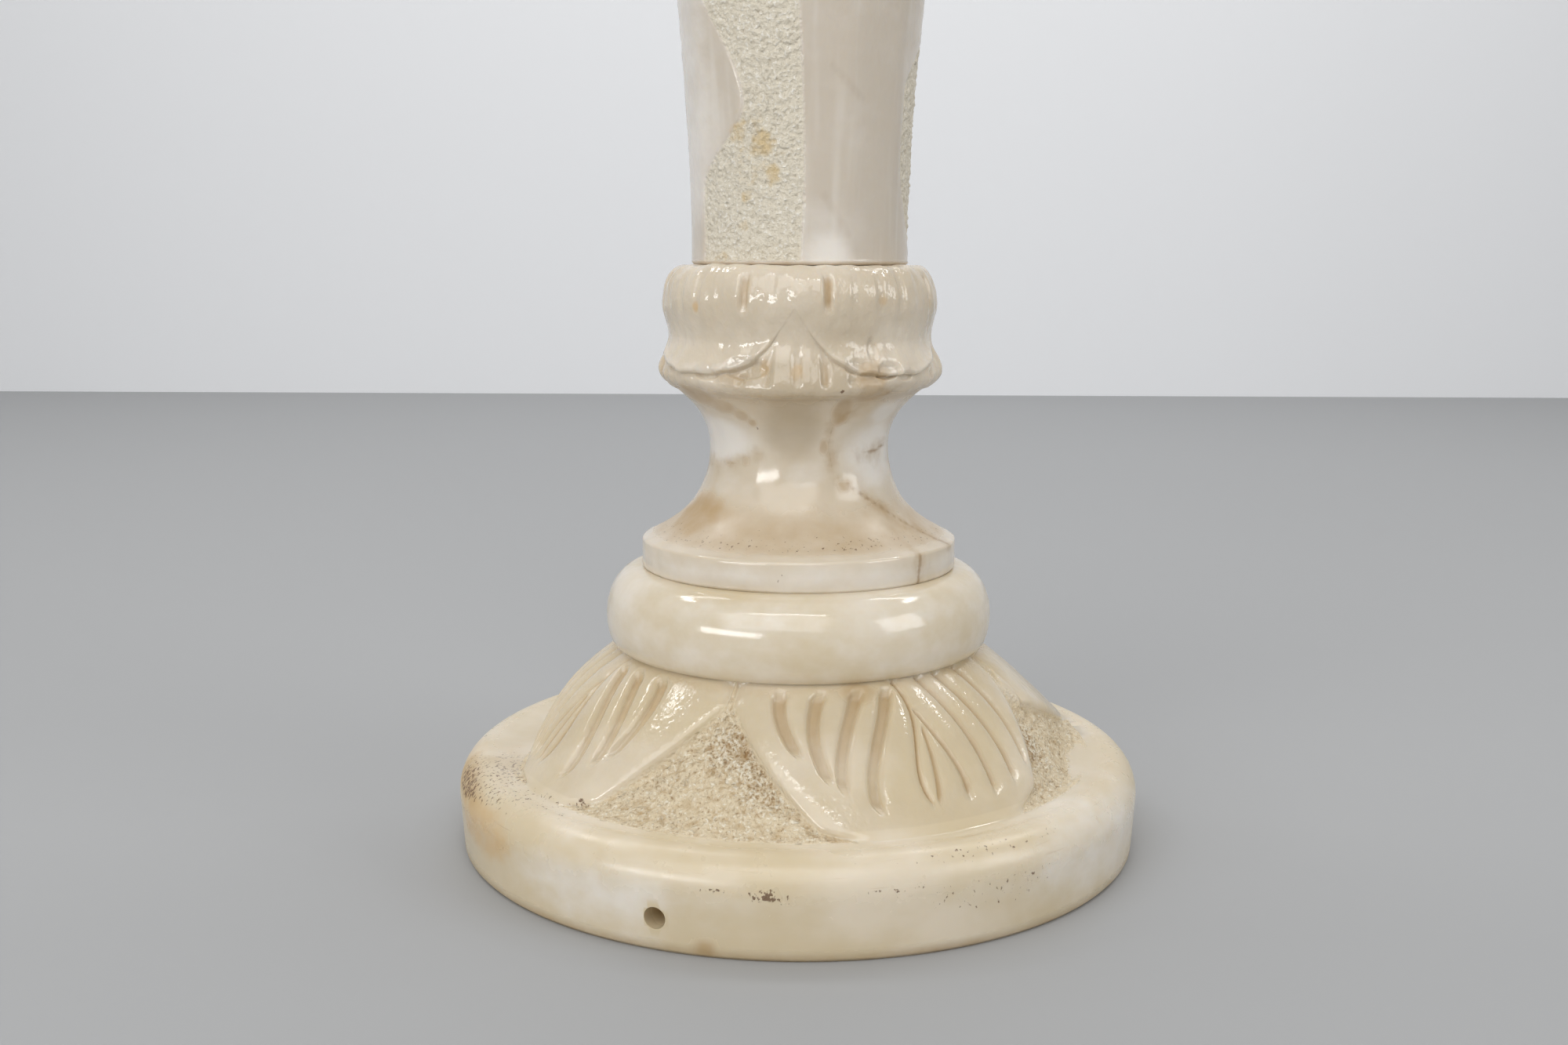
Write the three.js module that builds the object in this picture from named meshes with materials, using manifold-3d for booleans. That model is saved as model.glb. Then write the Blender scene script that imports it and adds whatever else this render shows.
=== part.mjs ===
// Alabaster pedestal column. A carved foot, a waisted neck with a leaf collar, a swelling shaft, a
// capital and a round top plate stand on one another on one axis.
// Millimetres, +Z up, origin on the floor under the axis. Angles are in degrees from the front
// (-Y), positive to the right (+X). A depth is cut inwards from the turned surface.

import * as THREE from 'three';
import { mergeVertices } from 'three/addons/utils/BufferGeometryUtils.js';
import Module from 'manifold-3d';

const wasm = await Module();
wasm.setup();

// Beds where one piece stands on the next, above the floor
const FOOT_TOP = 121;
const NECK_TOP = 252;
const SHAFT_TOP = 850;
const CAPITAL_TOP = 968;
const COLUMN_TOP = 1000;

// Round foot disc with a softly rounded upper edge
const RIM = { underside: 147.8, bevel: 1.8, base: 149.4, radius: 150.9, shoulder: 25, top: 39, inner: 138 };
// Small drilled blind hole in the rim
const HOLE = { angle: -20.5, height: 13.5, radius: 4.4, depth: 14, sides: 14 };

// Bell above the disc, carved with leaves, under the thick round moulding that bears the neck. Its
// outline swells out between the disc and the moulding
const BELL = { radius: 131, base: 38.5, neck: 79.5, top: 86, lowPull: [118, 53], highPull: [99, 73] };
const TORUS = { root: 80.5, rootAt: 86.5, radius: 85.4, middle: 100.5, bed: 70 };

// Leaves of the bell: one broad leaf every quarter turn, touching at the top, parted lower down
// by a three-cornered patch of rough ground that is widest at the bottom and ends at its apex.
// Every other leaf is a mirror image, without the first gouge.
const LEAVES = 4;
const LEAF_ANGLE = 27;
const LEAF_ROLL = { width: 6, depth: 1.4 };
const GROUND = { halfAngle: 24, apex: 0.87, slit: 0.7, depth: 6, shallow: 0.1, wall: 2.5 };
// On a leaf, across runs from -1 at its left edge to 1 at its right, and up from 0 at the bottom
// of the bell to 1 at its top. Marks drift from their top place to their low place at up = 0.2.
const LOW = 0.2;
const FADE = 0.12;
// Round-bottomed gouges of the left half
const GOUGE = { halfWidth: 3.1, flat: 0.3, taper: 0.7, depth: 2.8 };
const GOUGES = [
  { top: -0.71, low: -0.78, end: 0.44 },
  { top: -0.45, low: -0.7, end: 0.28 },
  { top: -0.19, low: -0.65, end: 0.23 },
  { top: 0, low: -0.46, end: 0.12 },
];
// Overlapping strips of the right half: each dips under the sharp edge of the strip to its left
const STRIP = { edge: 0.7, width: 9, depth: 2.4 };
const STRIPS = [
  { top: 0.05, low: -0.11, end: 0.12 },
  { top: 0.1, low: 0.02, start: 0.7, end: 0.12 },
  { top: 0.07, low: 0.24, start: 0.82, end: 0.12 },
  { top: 0.21, low: 0.49, end: 0.1 },
  { top: 0.37, low: 0.71, end: 0.12 },
  { top: 0.6, low: 0.9, end: 0.2 },
];

// Spool of the neck and of the capital. Places are distances from the shaft: first a leaf collar,
// then a hollow waist and a flat ring
const COLLAR = {
  bed: 50,
  shoulder: 59.6,
  shoulderAt: 15,
  waist: 57,
  waistAt: 30.5,
  lip: 62.2,
  lipAt: 44,
  foot: 54,
  footAt: 52.5,
  underPower: 1.3,
  neck: 52.3,
  neckAt: 54,
};
const NECK = { waist: 39.2, waistAt: 78, ring: 69.3, ringAt: 118 };
const CAPITAL = { waist: 40, waistAt: 76, ring: 65, ringAt: 106 };
// Pulls of the hollow's two curves, as parts of their width and of their length
const HOLLOW = {
  neckIn: 0.63,
  neckAlong: 0.29,
  waistShort: 0.42,
  waistLong: 0.55,
  ringIn: 0.55,
  ringAlong: 0.17,
};
// Small bevel of the sharp edges
const EDGE = 1.2;
// Broad collar leaves with their tips at the lip; a lower leaf shows between each two tips
const COLLAR_LEAF = { count: 4, angle: 45, tipAt: 44, meetAt: 20, power: 2.2, step: 1.9, wall: 1.6 };
const COLLAR_FLUTE = { count: 32, from: 0, to: 20, runOut: 4, halfWidth: 3, depth: 1.6 };
const LOWER_FLUTE = { count: 32, from: 30, to: 50, runOut: 4, halfWidth: 3, depth: 1.4 };

// Shaft: slim at the bottom, widest at the belly, slimmer again at the top
const SHAFT = { bottom: 46.8, belly: 57, bellyAt: 460, top: 46, straight: 5 };
// Raised bands with one straight and one scalloped edge, and sunk rough ground between them
const BANDS = 3;
const BAND = { angle: -118, width: 73, depth: 1.3, wall: 1.4, scallop: 15, crestAt: 316, climb: 40 };
const SCALLOP = { pitch: 120, rise: 34, fall: 60 };

// Round top plate
const PLATE = { radius: 130, edge: 9 };

// Points around each ring, and steps up each stretch
const AROUND = { foot: 48, spool: 36, collar: 64, plainCollar: 36, plate: 48 };
const STEPS = {
  rim: 2,
  bell: 9,
  torus: 2,
  collarUpper: 4,
  collarLower: 3,
  waist: 4,
  shaft: 28,
  bandFace: 4,
  ground: 3,
  plate: 1,
};

// The upper rows of a collar crowd together at its rounded shoulder
const SHOULDER_CROWDING = 1.4;
// Least angle between two points of a carved ring
const NARROWEST = 0.12;
// Vertices closer than this are one vertex
const SAME_PLACE = 1e-4;
const QUARTER = Math.PI / 2;

const { clamp, degToRad, lerp, smoothstep } = THREE.MathUtils;

// Signed difference of two angles, between -180 and 180
function angleBetween(from, to) {
  return THREE.MathUtils.euclideanModulo(to - from + 180, 360) - 180;
}

// A ring of count evenly spaced points
function evenRing(count, radius, height) {
  const ring = [];
  for (let i = 0; i < count; i += 1) {
    ring.push({ angle: (360 * i) / count, radius, height });
  }
  return ring;
}

// Even rings through the points of a profile whose x is the radius and y the height
function turnedRings(count, profile) {
  return profile.map((point) => evenRing(count, point.x, point.y));
}

// Joins a stack of rings, from the bottom up, into one closed skin with a point on the axis at
// each end. Rings of one size are joined point to point. Between rings of different sizes the
// strip goes forward along the ring that lags behind in angle.
function skin(rings) {
  const positions = [];
  const triangles = [];
  let count = 0;
  const put = (angle, radius, height) => {
    const turn = degToRad(angle);
    positions.push(radius * Math.sin(turn), -radius * Math.cos(turn), height);
    count += 1;
    return count - 1;
  };
  const placed = rings.map((ring) => ring.map((point) => put(point.angle, point.radius, point.height)));
  for (let level = 0; level + 1 < rings.length; level += 1) {
    const lower = placed[level];
    const upper = placed[level + 1];
    const same = lower.length === upper.length;
    const reached = (ring, step) => {
      if (same) return step;
      return step < ring.length ? ring[step].angle : 360 + ring[0].angle;
    };
    let i = 0;
    let j = 0;
    while (i < lower.length || j < upper.length) {
      const lowerLags = reached(rings[level], i + 1) <= reached(rings[level + 1], j + 1);
      const a = lower[i % lower.length];
      const b = upper[j % upper.length];
      if (j === upper.length || (i < lower.length && lowerLags)) {
        i += 1;
        triangles.push(a, lower[i % lower.length], b);
      } else {
        j += 1;
        triangles.push(a, upper[j % upper.length], b);
      }
    }
  }
  const first = placed[0];
  const last = placed[placed.length - 1];
  const bottom = put(0, 0, rings[0][0].height);
  const top = put(0, 0, rings[rings.length - 1][0].height);
  first.forEach((point, i) => triangles.push(bottom, first[(i + 1) % first.length], point));
  last.forEach((point, i) => triangles.push(top, point, last[(i + 1) % last.length]));
  const geometry = new THREE.BufferGeometry();
  geometry.setAttribute('position', new THREE.Float32BufferAttribute(positions, 3));
  geometry.setIndex(triangles);
  return geometry;
}

// Half angle of the rough ground at a height up the bell
function groundHalfAngle(up) {
  return Math.max(GROUND.slit, GROUND.halfAngle * (1 - up / GROUND.apex));
}

// Half angle of a leaf at a height up the bell
function leafHalfAngle(up) {
  return 180 / LEAVES - groundHalfAngle(up);
}

// Place of a mark across a leaf at a height up the bell
function markAcross(mark, up) {
  return lerp(mark.low, mark.top, (Math.max(up, LOW) - LOW) / (1 - LOW));
}

// How fully a mark is cut at a height up the bell: it runs out at its lower and upper end
function markStrength(mark, up) {
  const above = smoothstep(up, mark.end, mark.end + FADE);
  const below = mark.start ? 1 - smoothstep(up, mark.start - FADE, mark.start) : 1;
  return above * below;
}

// Depth of the carving of the bell at an angle from a leaf's middle, where the bell has this radius
function bellDepth(angle, up, radius, gouges) {
  const toLength = degToRad(1) * radius;
  const half = leafHalfAngle(up);
  const inside = (half - Math.abs(angle)) * toLength;
  let depth = LEAF_ROLL.depth * (1 - smoothstep(inside, 0, LEAF_ROLL.width));
  for (const gouge of gouges) {
    const away = Math.abs(angle - markAcross(gouge, up) * half) * toLength;
    const reach = GOUGE.halfWidth * lerp(GOUGE.taper, 1, up);
    const cutDepth = GOUGE.depth * (1 - smoothstep(away, GOUGE.flat * reach, reach));
    depth = Math.max(depth, cutDepth * markStrength(gouge, up));
  }
  for (const strip of STRIPS) {
    const past = (angle - markAcross(strip, up) * half) * toLength;
    const dip = smoothstep(past, 0, STRIP.edge) * (1 - smoothstep(past, 0, STRIP.width));
    depth = Math.max(depth, STRIP.depth * dip * markStrength(strip, up));
  }
  const hollow = lerp(GROUND.shallow, 1 - GROUND.shallow, Math.min(up / GROUND.apex, 1));
  const sunk = GROUND.depth * Math.sin(Math.PI * hollow);
  return lerp(sunk, depth, smoothstep(inside, -GROUND.wall / 2, GROUND.wall / 2));
}

// Angles from a leaf's middle where the bell is sampled: along every edge, on both sides of every
// mark and within the ground beside the leaf
function bellAngles(up, radius) {
  const half = leafHalfAngle(up);
  const ground = groundHalfAngle(up);
  const toAngle = 1 / (degToRad(1) * radius);
  const lip = Math.min((GROUND.wall / 2) * toAngle, ground / 3);
  const roll = LEAF_ROLL.width * toAngle;
  const angles = [-half - ground / 2, -half - lip, -half + lip, -half + roll];
  for (const gouge of GOUGES) {
    const middle = markAcross(gouge, up) * half;
    const reach = GOUGE.halfWidth * lerp(GOUGE.taper, 1, up) * toAngle;
    angles.push(middle - reach, middle, middle + reach);
  }
  for (const strip of STRIPS) {
    const edge = markAcross(strip, up) * half;
    angles.push(edge, edge + STRIP.edge * toAngle);
  }
  angles.push(half - lip, half + lip, half + ground / 2);
  for (let i = 1; i < angles.length; i += 1) {
    angles[i] = Math.max(angles[i], angles[i - 1] + NARROWEST);
  }
  return angles;
}

// One ring of the carved bell: each leaf, then the middle of the ground to its right
function bellRing(curve, up) {
  const point = curve.getPointAt(up);
  const along = curve.getTangentAt(up);
  const across = bellAngles(up, point.x);
  const mirroredAcross = across.map((angle) => -angle).reverse();
  const ring = [];
  for (let leaf = 0; leaf < LEAVES; leaf += 1) {
    const mirrored = leaf % 2 === 1;
    const gouges = mirrored ? GOUGES.slice(1) : GOUGES;
    for (const angle of [...(mirrored ? mirroredAcross : across), 180 / LEAVES]) {
      const carved = bellDepth(mirrored ? -angle : angle, up, point.x, gouges);
      const depth = up > 0 ? carved : 0;
      ring.push({
        angle: angle + 180 / LEAVES + (360 * leaf) / LEAVES,
        radius: point.x - depth * along.y,
        height: point.y + depth * along.x,
      });
    }
  }
  return ring;
}

// A closed solid from a geometry, its shared vertices merged
function solid(geometry) {
  const bare = geometry.clone();
  bare.deleteAttribute('normal');
  bare.deleteAttribute('uv');
  const merged = mergeVertices(bare, SAME_PLACE);
  return new wasm.Manifold(
    new wasm.Mesh({
      numProp: 3,
      vertProperties: Float32Array.from(merged.attributes.position.array),
      triVerts: Uint32Array.from(merged.index.array),
    }),
  );
}

// The first geometry less the second
function cut(geometry, tool) {
  const mesh = solid(geometry).subtract(solid(tool)).getMesh();
  const result = new THREE.BufferGeometry();
  result.setAttribute('position', new THREE.Float32BufferAttribute(mesh.vertProperties, 3));
  result.setIndex(Array.from(mesh.triVerts));
  return result;
}

// Foot: disc, leaf bell and torus from one block, with the hole drilled into its rim. The rings
// start left of a leaf, and the whole turns to bring the leaves to their place.
function footGeometry() {
  const rim = new THREE.Path()
    .moveTo(RIM.underside, 0)
    .lineTo(RIM.base, RIM.bevel)
    .absellipse(RIM.inner, RIM.shoulder, RIM.radius - RIM.inner, RIM.top - RIM.shoulder, 0, QUARTER);
  const bell = new THREE.CubicBezierCurve(
    new THREE.Vector2(BELL.radius, BELL.base),
    new THREE.Vector2(...BELL.lowPull),
    new THREE.Vector2(...BELL.highPull),
    new THREE.Vector2(BELL.neck, BELL.top),
  );
  const torus = new THREE.Path()
    .absellipse(TORUS.root, TORUS.middle, TORUS.radius - TORUS.root, TORUS.middle - TORUS.rootAt, -QUARTER, 0)
    .absellipse(TORUS.bed, TORUS.middle, TORUS.radius - TORUS.bed, FOOT_TOP - TORUS.middle, 0, QUARTER);
  const bellRings = [];
  for (let step = 0; step <= STEPS.bell; step += 1) {
    bellRings.push(bellRing(bell, step / STEPS.bell));
  }
  const block = skin([
    ...turnedRings(AROUND.foot, rim.getPoints(STEPS.rim)),
    ...bellRings,
    ...turnedRings(AROUND.foot, torus.getPoints(STEPS.torus)),
  ]);
  block.rotateZ(degToRad(LEAF_ANGLE - 180 / LEAVES));
  const drill = new THREE.CylinderGeometry(HOLE.radius, HOLE.radius, 2 * HOLE.depth, HOLE.sides);
  drill.translate(0, -RIM.radius, HOLE.height);
  drill.rotateZ(degToRad(HOLE.angle));
  return cut(block, drill);
}

// Radius of the turned collar at a distance from the shaft: a rounded shoulder, a slight waist, a
// lip that flares out, and an underside that slopes in
function collarRadius(distance) {
  if (distance < COLLAR.shoulderAt) {
    const part = 1 - distance / COLLAR.shoulderAt;
    return lerp(COLLAR.bed, COLLAR.shoulder, Math.sqrt(1 - part ** 2));
  }
  if (distance < COLLAR.waistAt) {
    return lerp(COLLAR.shoulder, COLLAR.waist, smoothstep(distance, COLLAR.shoulderAt, COLLAR.waistAt));
  }
  if (distance < COLLAR.lipAt) {
    return lerp(COLLAR.waist, COLLAR.lip, smoothstep(distance, COLLAR.waistAt, COLLAR.lipAt));
  }
  const part = Math.min(1, (distance - COLLAR.lipAt) / (COLLAR.footAt - COLLAR.lipAt));
  return lerp(COLLAR.lip, COLLAR.foot, part ** COLLAR.underPower);
}

// Depth of one flute: deepest in its middle, running out at both ends
function fluteDepth(flute, away, distance) {
  const across = 1 - smoothstep(away, 0, flute.halfWidth);
  const started = smoothstep(distance, flute.from, flute.from + flute.runOut);
  const ended = smoothstep(distance, flute.to - flute.runOut, flute.to);
  return flute.depth * across * started * (1 - ended);
}

// Distance from the shaft to the lower edge of the broad collar leaves
function leafEdgeAt(angle) {
  const half = 180 / COLLAR_LEAF.count;
  const fromTip = Math.abs(angleBetween(COLLAR_LEAF.angle, angle)) % (2 * half);
  const part = Math.min(fromTip, 2 * half - fromTip) / half;
  return lerp(COLLAR_LEAF.tipAt, COLLAR_LEAF.meetAt, part ** COLLAR_LEAF.power);
}

// Depth of the carving of a collar
function collarDepth(angle, distance, radius, fluted) {
  const toLength = degToRad(1) * radius;
  const nearest = (flute) => {
    const pitch = 360 / flute.count;
    const beside = THREE.MathUtils.euclideanModulo(angle + pitch / 2, pitch) - pitch / 2;
    return Math.abs(beside) * toLength;
  };
  const past = distance - leafEdgeAt(angle);
  const under = smoothstep(past, -COLLAR_LEAF.wall / 2, COLLAR_LEAF.wall / 2);
  let upper = 0;
  let lower = COLLAR_LEAF.step;
  if (fluted) {
    upper = fluteDepth(COLLAR_FLUTE, nearest(COLLAR_FLUTE), distance);
    lower += fluteDepth(LOWER_FLUTE, nearest(LOWER_FLUTE), distance);
  }
  const round = 1 - smoothstep(distance, COLLAR.lipAt, COLLAR.footAt);
  return lerp(upper, lower, under) * round;
}

// Rings of a collar, from the shaft outwards: the rows follow the edge of the broad leaves
function collarRings(fluted) {
  const around = fluted ? AROUND.collar : AROUND.plainCollar;
  const rowRing = (distanceAt) => evenRing(around, 0, 0).map(({ angle }) => {
    const distance = distanceAt(angle);
    const turned = collarRadius(distance);
    return { angle, radius: turned - collarDepth(angle, distance, turned, fluted), height: distance };
  });
  const rings = [evenRing(around, COLLAR.bed, 0)];
  for (let step = 1; step <= STEPS.collarUpper; step += 1) {
    const part = (step / STEPS.collarUpper) ** SHOULDER_CROWDING;
    rings.push(rowRing((angle) => part * (leafEdgeAt(angle) - COLLAR_LEAF.wall / 2)));
  }
  for (let step = 0; step <= STEPS.collarLower; step += 1) {
    const part = step / STEPS.collarLower;
    rings.push(rowRing((angle) => lerp(leafEdgeAt(angle) + COLLAR_LEAF.wall / 2, COLLAR.footAt, part)));
  }
  return rings;
}

// Spool with its collar against the shaft and its flat ring, of full height, at the far end. It
// goes down from the bed for the neck and up for the capital.
function spoolGeometry(spool, bed, height, upwards, fluted) {
  const rise = spool.waistAt - COLLAR.neckAt;
  const fall = spool.ringAt - spool.waistAt;
  const hollow = new THREE.Path()
    .moveTo(COLLAR.neck, COLLAR.neckAt)
    .bezierCurveTo(
      lerp(COLLAR.neck, spool.waist, HOLLOW.neckIn),
      COLLAR.neckAt + HOLLOW.neckAlong * rise,
      spool.waist,
      spool.waistAt - HOLLOW.waistShort * rise,
      spool.waist,
      spool.waistAt,
    )
    .bezierCurveTo(
      spool.waist,
      spool.waistAt + HOLLOW.waistLong * fall,
      lerp(spool.ring, spool.waist, HOLLOW.ringIn),
      spool.ringAt - HOLLOW.ringAlong * fall,
      spool.ring - EDGE,
      spool.ringAt,
    )
    .lineTo(spool.ring, spool.ringAt + EDGE)
    .lineTo(spool.ring, height - EDGE / 2)
    .lineTo(spool.ring - EDGE / 2, height);
  const rings = [...collarRings(fluted), ...turnedRings(AROUND.spool, hollow.getPoints(STEPS.waist))];
  for (const point of rings.flat()) {
    point.height = upwards ? bed + point.height : bed - point.height;
  }
  return skin(upwards ? rings : rings.reverse());
}

// Radius of the shaft at a height
function shaftRadius(height) {
  const start = NECK_TOP + SHAFT.straight;
  if (height < SHAFT.bellyAt) {
    const part = clamp((height - start) / (SHAFT.bellyAt - start), 0, 1);
    return lerp(SHAFT.bottom, SHAFT.belly, (1 - Math.cos(Math.PI * part)) / 2);
  }
  const part = (height - SHAFT.bellyAt) / (SHAFT_TOP - SHAFT.bellyAt);
  return lerp(SHAFT.belly, SHAFT.top, (1 - Math.cos(Math.PI * part)) / 2);
}

// Angle of the scalloped edge of one band at a height: each scallop swells out quickly and dies
// away slowly upwards, and the scallops of the next band stand higher by the climb
function scallopedEdge(band, height) {
  const crest = BAND.crestAt + BAND.climb * band;
  const past = THREE.MathUtils.euclideanModulo(height - crest + SCALLOP.rise, SCALLOP.pitch) - SCALLOP.rise;
  const swell = past < 0 ? smoothstep(past, -SCALLOP.rise, 0) : 1 - smoothstep(past, 0, SCALLOP.fall);
  return BAND.angle + (360 * band) / BANDS + BAND.width + BAND.scallop * (2 * swell - 1);
}

// One ring of the shaft: for each band its straight edge, its face, its scalloped edge and the
// sunk ground up to the next band
function shaftRing(height, inset) {
  const radius = shaftRadius(height) - inset;
  const wall = BAND.wall / (degToRad(1) * radius);
  const ring = [];
  const put = (angle, depth) => ring.push({ angle, radius: radius - depth, height });
  for (let band = 0; band < BANDS; band += 1) {
    const straight = BAND.angle + (360 * band) / BANDS;
    const scalloped = scallopedEdge(band, height);
    const next = straight + 360 / BANDS;
    put(straight - wall, BAND.depth);
    put(straight, 0);
    for (let step = 1; step < STEPS.bandFace; step += 1) {
      put(lerp(straight, scalloped, step / STEPS.bandFace), 0);
    }
    put(scalloped, 0);
    put(scalloped + wall, BAND.depth);
    for (let step = 1; step < STEPS.ground; step += 1) {
      put(lerp(scalloped + wall, next - wall, step / STEPS.ground), BAND.depth);
    }
  }
  return ring;
}

// Shaft with a small bevel at both ends
function shaftGeometry() {
  const rings = [shaftRing(NECK_TOP, EDGE)];
  for (let step = 0; step <= STEPS.shaft; step += 1) {
    rings.push(shaftRing(lerp(NECK_TOP + EDGE, SHAFT_TOP - EDGE, step / STEPS.shaft), 0));
  }
  rings.push(shaftRing(SHAFT_TOP, EDGE));
  return skin(rings);
}

// Round slab with rounded edges
function plateGeometry() {
  const profile = new THREE.Path()
    .moveTo(PLATE.radius - PLATE.edge, CAPITAL_TOP)
    .absarc(PLATE.radius - PLATE.edge, CAPITAL_TOP + PLATE.edge, PLATE.edge, -QUARTER, 0)
    .absarc(PLATE.radius - PLATE.edge, COLUMN_TOP - PLATE.edge, PLATE.edge, 0, QUARTER);
  return skin(turnedRings(AROUND.plate, profile.getPoints(STEPS.plate)));
}

// A named piece of polished alabaster
function piece(name, geometry, color, roughness) {
  geometry.computeVertexNormals();
  const mesh = new THREE.Mesh(geometry, new THREE.MeshStandardMaterial({ color, roughness, metalness: 0 }));
  mesh.name = name;
  return mesh;
}

const column = new THREE.Group();
column.add(
  piece('foot', footGeometry(), 0xdacdb4, 0.38),
  piece('neck', spoolGeometry(NECK, NECK_TOP, NECK_TOP - FOOT_TOP, false, true), 0xdcd2c1, 0.34),
  piece('shaft', shaftGeometry(), 0xd5cdc2, 0.42),
  piece('capital', spoolGeometry(CAPITAL, SHAFT_TOP, CAPITAL_TOP - SHAFT_TOP, true, false), 0xdcd2c1, 0.34),
  piece('top_plate', plateGeometry(), 0xdacdb4, 0.36),
);

export default column;
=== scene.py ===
"""Alabaster pedestal column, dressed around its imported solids.

Sizes are in millimetres, and angles in degrees from the front (-Y), positive to the right (+X), as
in the part's source. A mesh turns to metres when it is made, in the frame of the solids.
"""

import logging
import math
from dataclasses import dataclass, field
from enum import Enum
from typing import Any

import bpy
import numpy as np
from mathutils import Matrix, Vector
from numpy.typing import NDArray


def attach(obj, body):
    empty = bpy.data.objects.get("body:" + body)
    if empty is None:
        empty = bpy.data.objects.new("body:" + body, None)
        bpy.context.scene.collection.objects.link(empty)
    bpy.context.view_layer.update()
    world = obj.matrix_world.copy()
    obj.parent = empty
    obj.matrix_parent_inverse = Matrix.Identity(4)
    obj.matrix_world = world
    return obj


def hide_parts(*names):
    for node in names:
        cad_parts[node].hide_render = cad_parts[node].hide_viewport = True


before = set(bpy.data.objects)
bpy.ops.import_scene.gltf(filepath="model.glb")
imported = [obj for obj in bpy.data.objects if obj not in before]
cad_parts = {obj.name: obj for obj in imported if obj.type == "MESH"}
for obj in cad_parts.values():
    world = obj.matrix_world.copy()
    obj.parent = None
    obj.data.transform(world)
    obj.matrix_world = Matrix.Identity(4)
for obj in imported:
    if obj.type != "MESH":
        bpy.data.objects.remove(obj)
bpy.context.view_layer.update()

LOG = logging.getLogger("pedestal")
Values = NDArray[np.float64]
Tree = bpy.types.NodeTree
Socket = bpy.types.NodeSocket
Settings = dict[str | int, Any]
Links = dict[str | int, Socket]

MM = 0.001
# A spot this wide goes all the way round
ALL_ROUND = 1e9
# Distance over which the nearness of a vein falls from one to nothing
VEIN_REACH = 20.0
# Width of the ring of faces round the fan that closes a flat end
END_RING = 3.0
# Points at which a curve is measured before it is divided evenly
CURVE_STEPS = 800
# Punched ground: size of the fine bumps beside the coarse ones, and how low a bump still is a crease
FINE_BUMP = 0.6
COARSE_CREASE = (0.02, 0.22)
FINE_CREASE = (0.02, 0.25)
FINE_CREASE_SHARE = 0.6
# Height up the bell over which a fall of the ground ends
FALL_FADE = 0.3
# Part of a chip's oval that is flat
CHIP_FLAT = 0.74
# Whole numbers and shifts that scatter the corners of the noise lattice, and the largest numbers of
# 32 and 16 bits
SCATTER = (73856093, 19349663, 83492791, 2654435761)
SHIFTS = (15, 13, 8)
WORD = 0xFFFFFFFF
HALF_WORD = 0xFFFF


class Layer(Enum):
    """What a vertex attribute says about the stone, from 0 for none to 1 for all."""

    GROUND = "ground"
    CARVED = "carved"
    # Dirt, and painted shade in creases and under overhangs
    DIRT_AND_SHADE = "dirt_and_shade"
    # Milky stone, and a painted glow along thin edges
    MILK_AND_GLOW = "milk_and_glow"
    STAIN = "stain"
    SPECKS = "specks"
    VEIN = "vein"
    CLEAR = "clear"
    WORN = "worn"


class Grain(Enum):
    """Patterns in the stone: cell size around and up in millimetres, and octaves.

    The punched pattern has sharp creases between rounded bumps, the others are clouds. Flecks and
    scratches are drawn coarser than real ones, so that they show.
    """

    CLOUD = (55.0, 38.0, 4.0)
    MOTTLE = (9.0, 9.0, 3.0)
    RAGGED = (4.5, 4.5, 4.0)
    FLECK = (1.5, 2.1, 3.0)
    RIPPLE = (3.6, 5.0, 2.0)
    PATCH = (19.0, 13.0, 4.0)
    GRIT = (1.3, 1.3, 3.0)
    PUNCH = (3.0, 3.0, 2.5)
    SCRATCH = (26.0, 0.7, 2.0)
    STREAK = (8.0, 110.0, 2.0)


def lerp(start: Any, end: Any, part: Any) -> Any:
    """Value part of the way from start to end."""
    return start + (end - start) * part


def smoothstep(value: Values, start: Any, end: Any) -> Values:
    """Rises from 0 at start to 1 at end as 3t^2 - 2t^3."""
    part = np.clip((value - start) / (end - start), 0.0, 1.0)
    return part * part * (3.0 - 2.0 * part)


def plateau(value: Values, start: tuple[float, float], end: tuple[float, float]) -> Values:
    """Rises from 0 to 1 between the two values of start, and falls back between those of end."""
    return smoothstep(value, *start) * (1.0 - smoothstep(value, *end))


def round_off(part: Values) -> Values:
    """Drop of a rounded edge, a quarter circle: 1 at the edge (part 0), 0 where it ends (part 1)."""
    return 1.0 - np.sqrt(1.0 - (1.0 - np.clip(part, 0.0, 1.0)) ** 2)


def turned(angle: Any) -> Any:
    """The same angle between -180 and 180."""
    return (angle + 180.0) % 360.0 - 180.0


def to_linear(colour: str) -> tuple[float, float, float, float]:
    """Turns an sRGB hex colour to the linear colour of a shader.

    Args:
        colour: Six hex digits.

    Returns:
        Linear red, green, blue and an alpha of 1.
    """
    parts = np.array([int(colour[at : at + 2], 16) for at in (0, 2, 4)]) / 255.0
    linear = np.where(parts <= 0.04045, parts / 12.92, ((parts + 0.055) / 1.055) ** 2.4)
    return (*linear.tolist(), 1.0)


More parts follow.
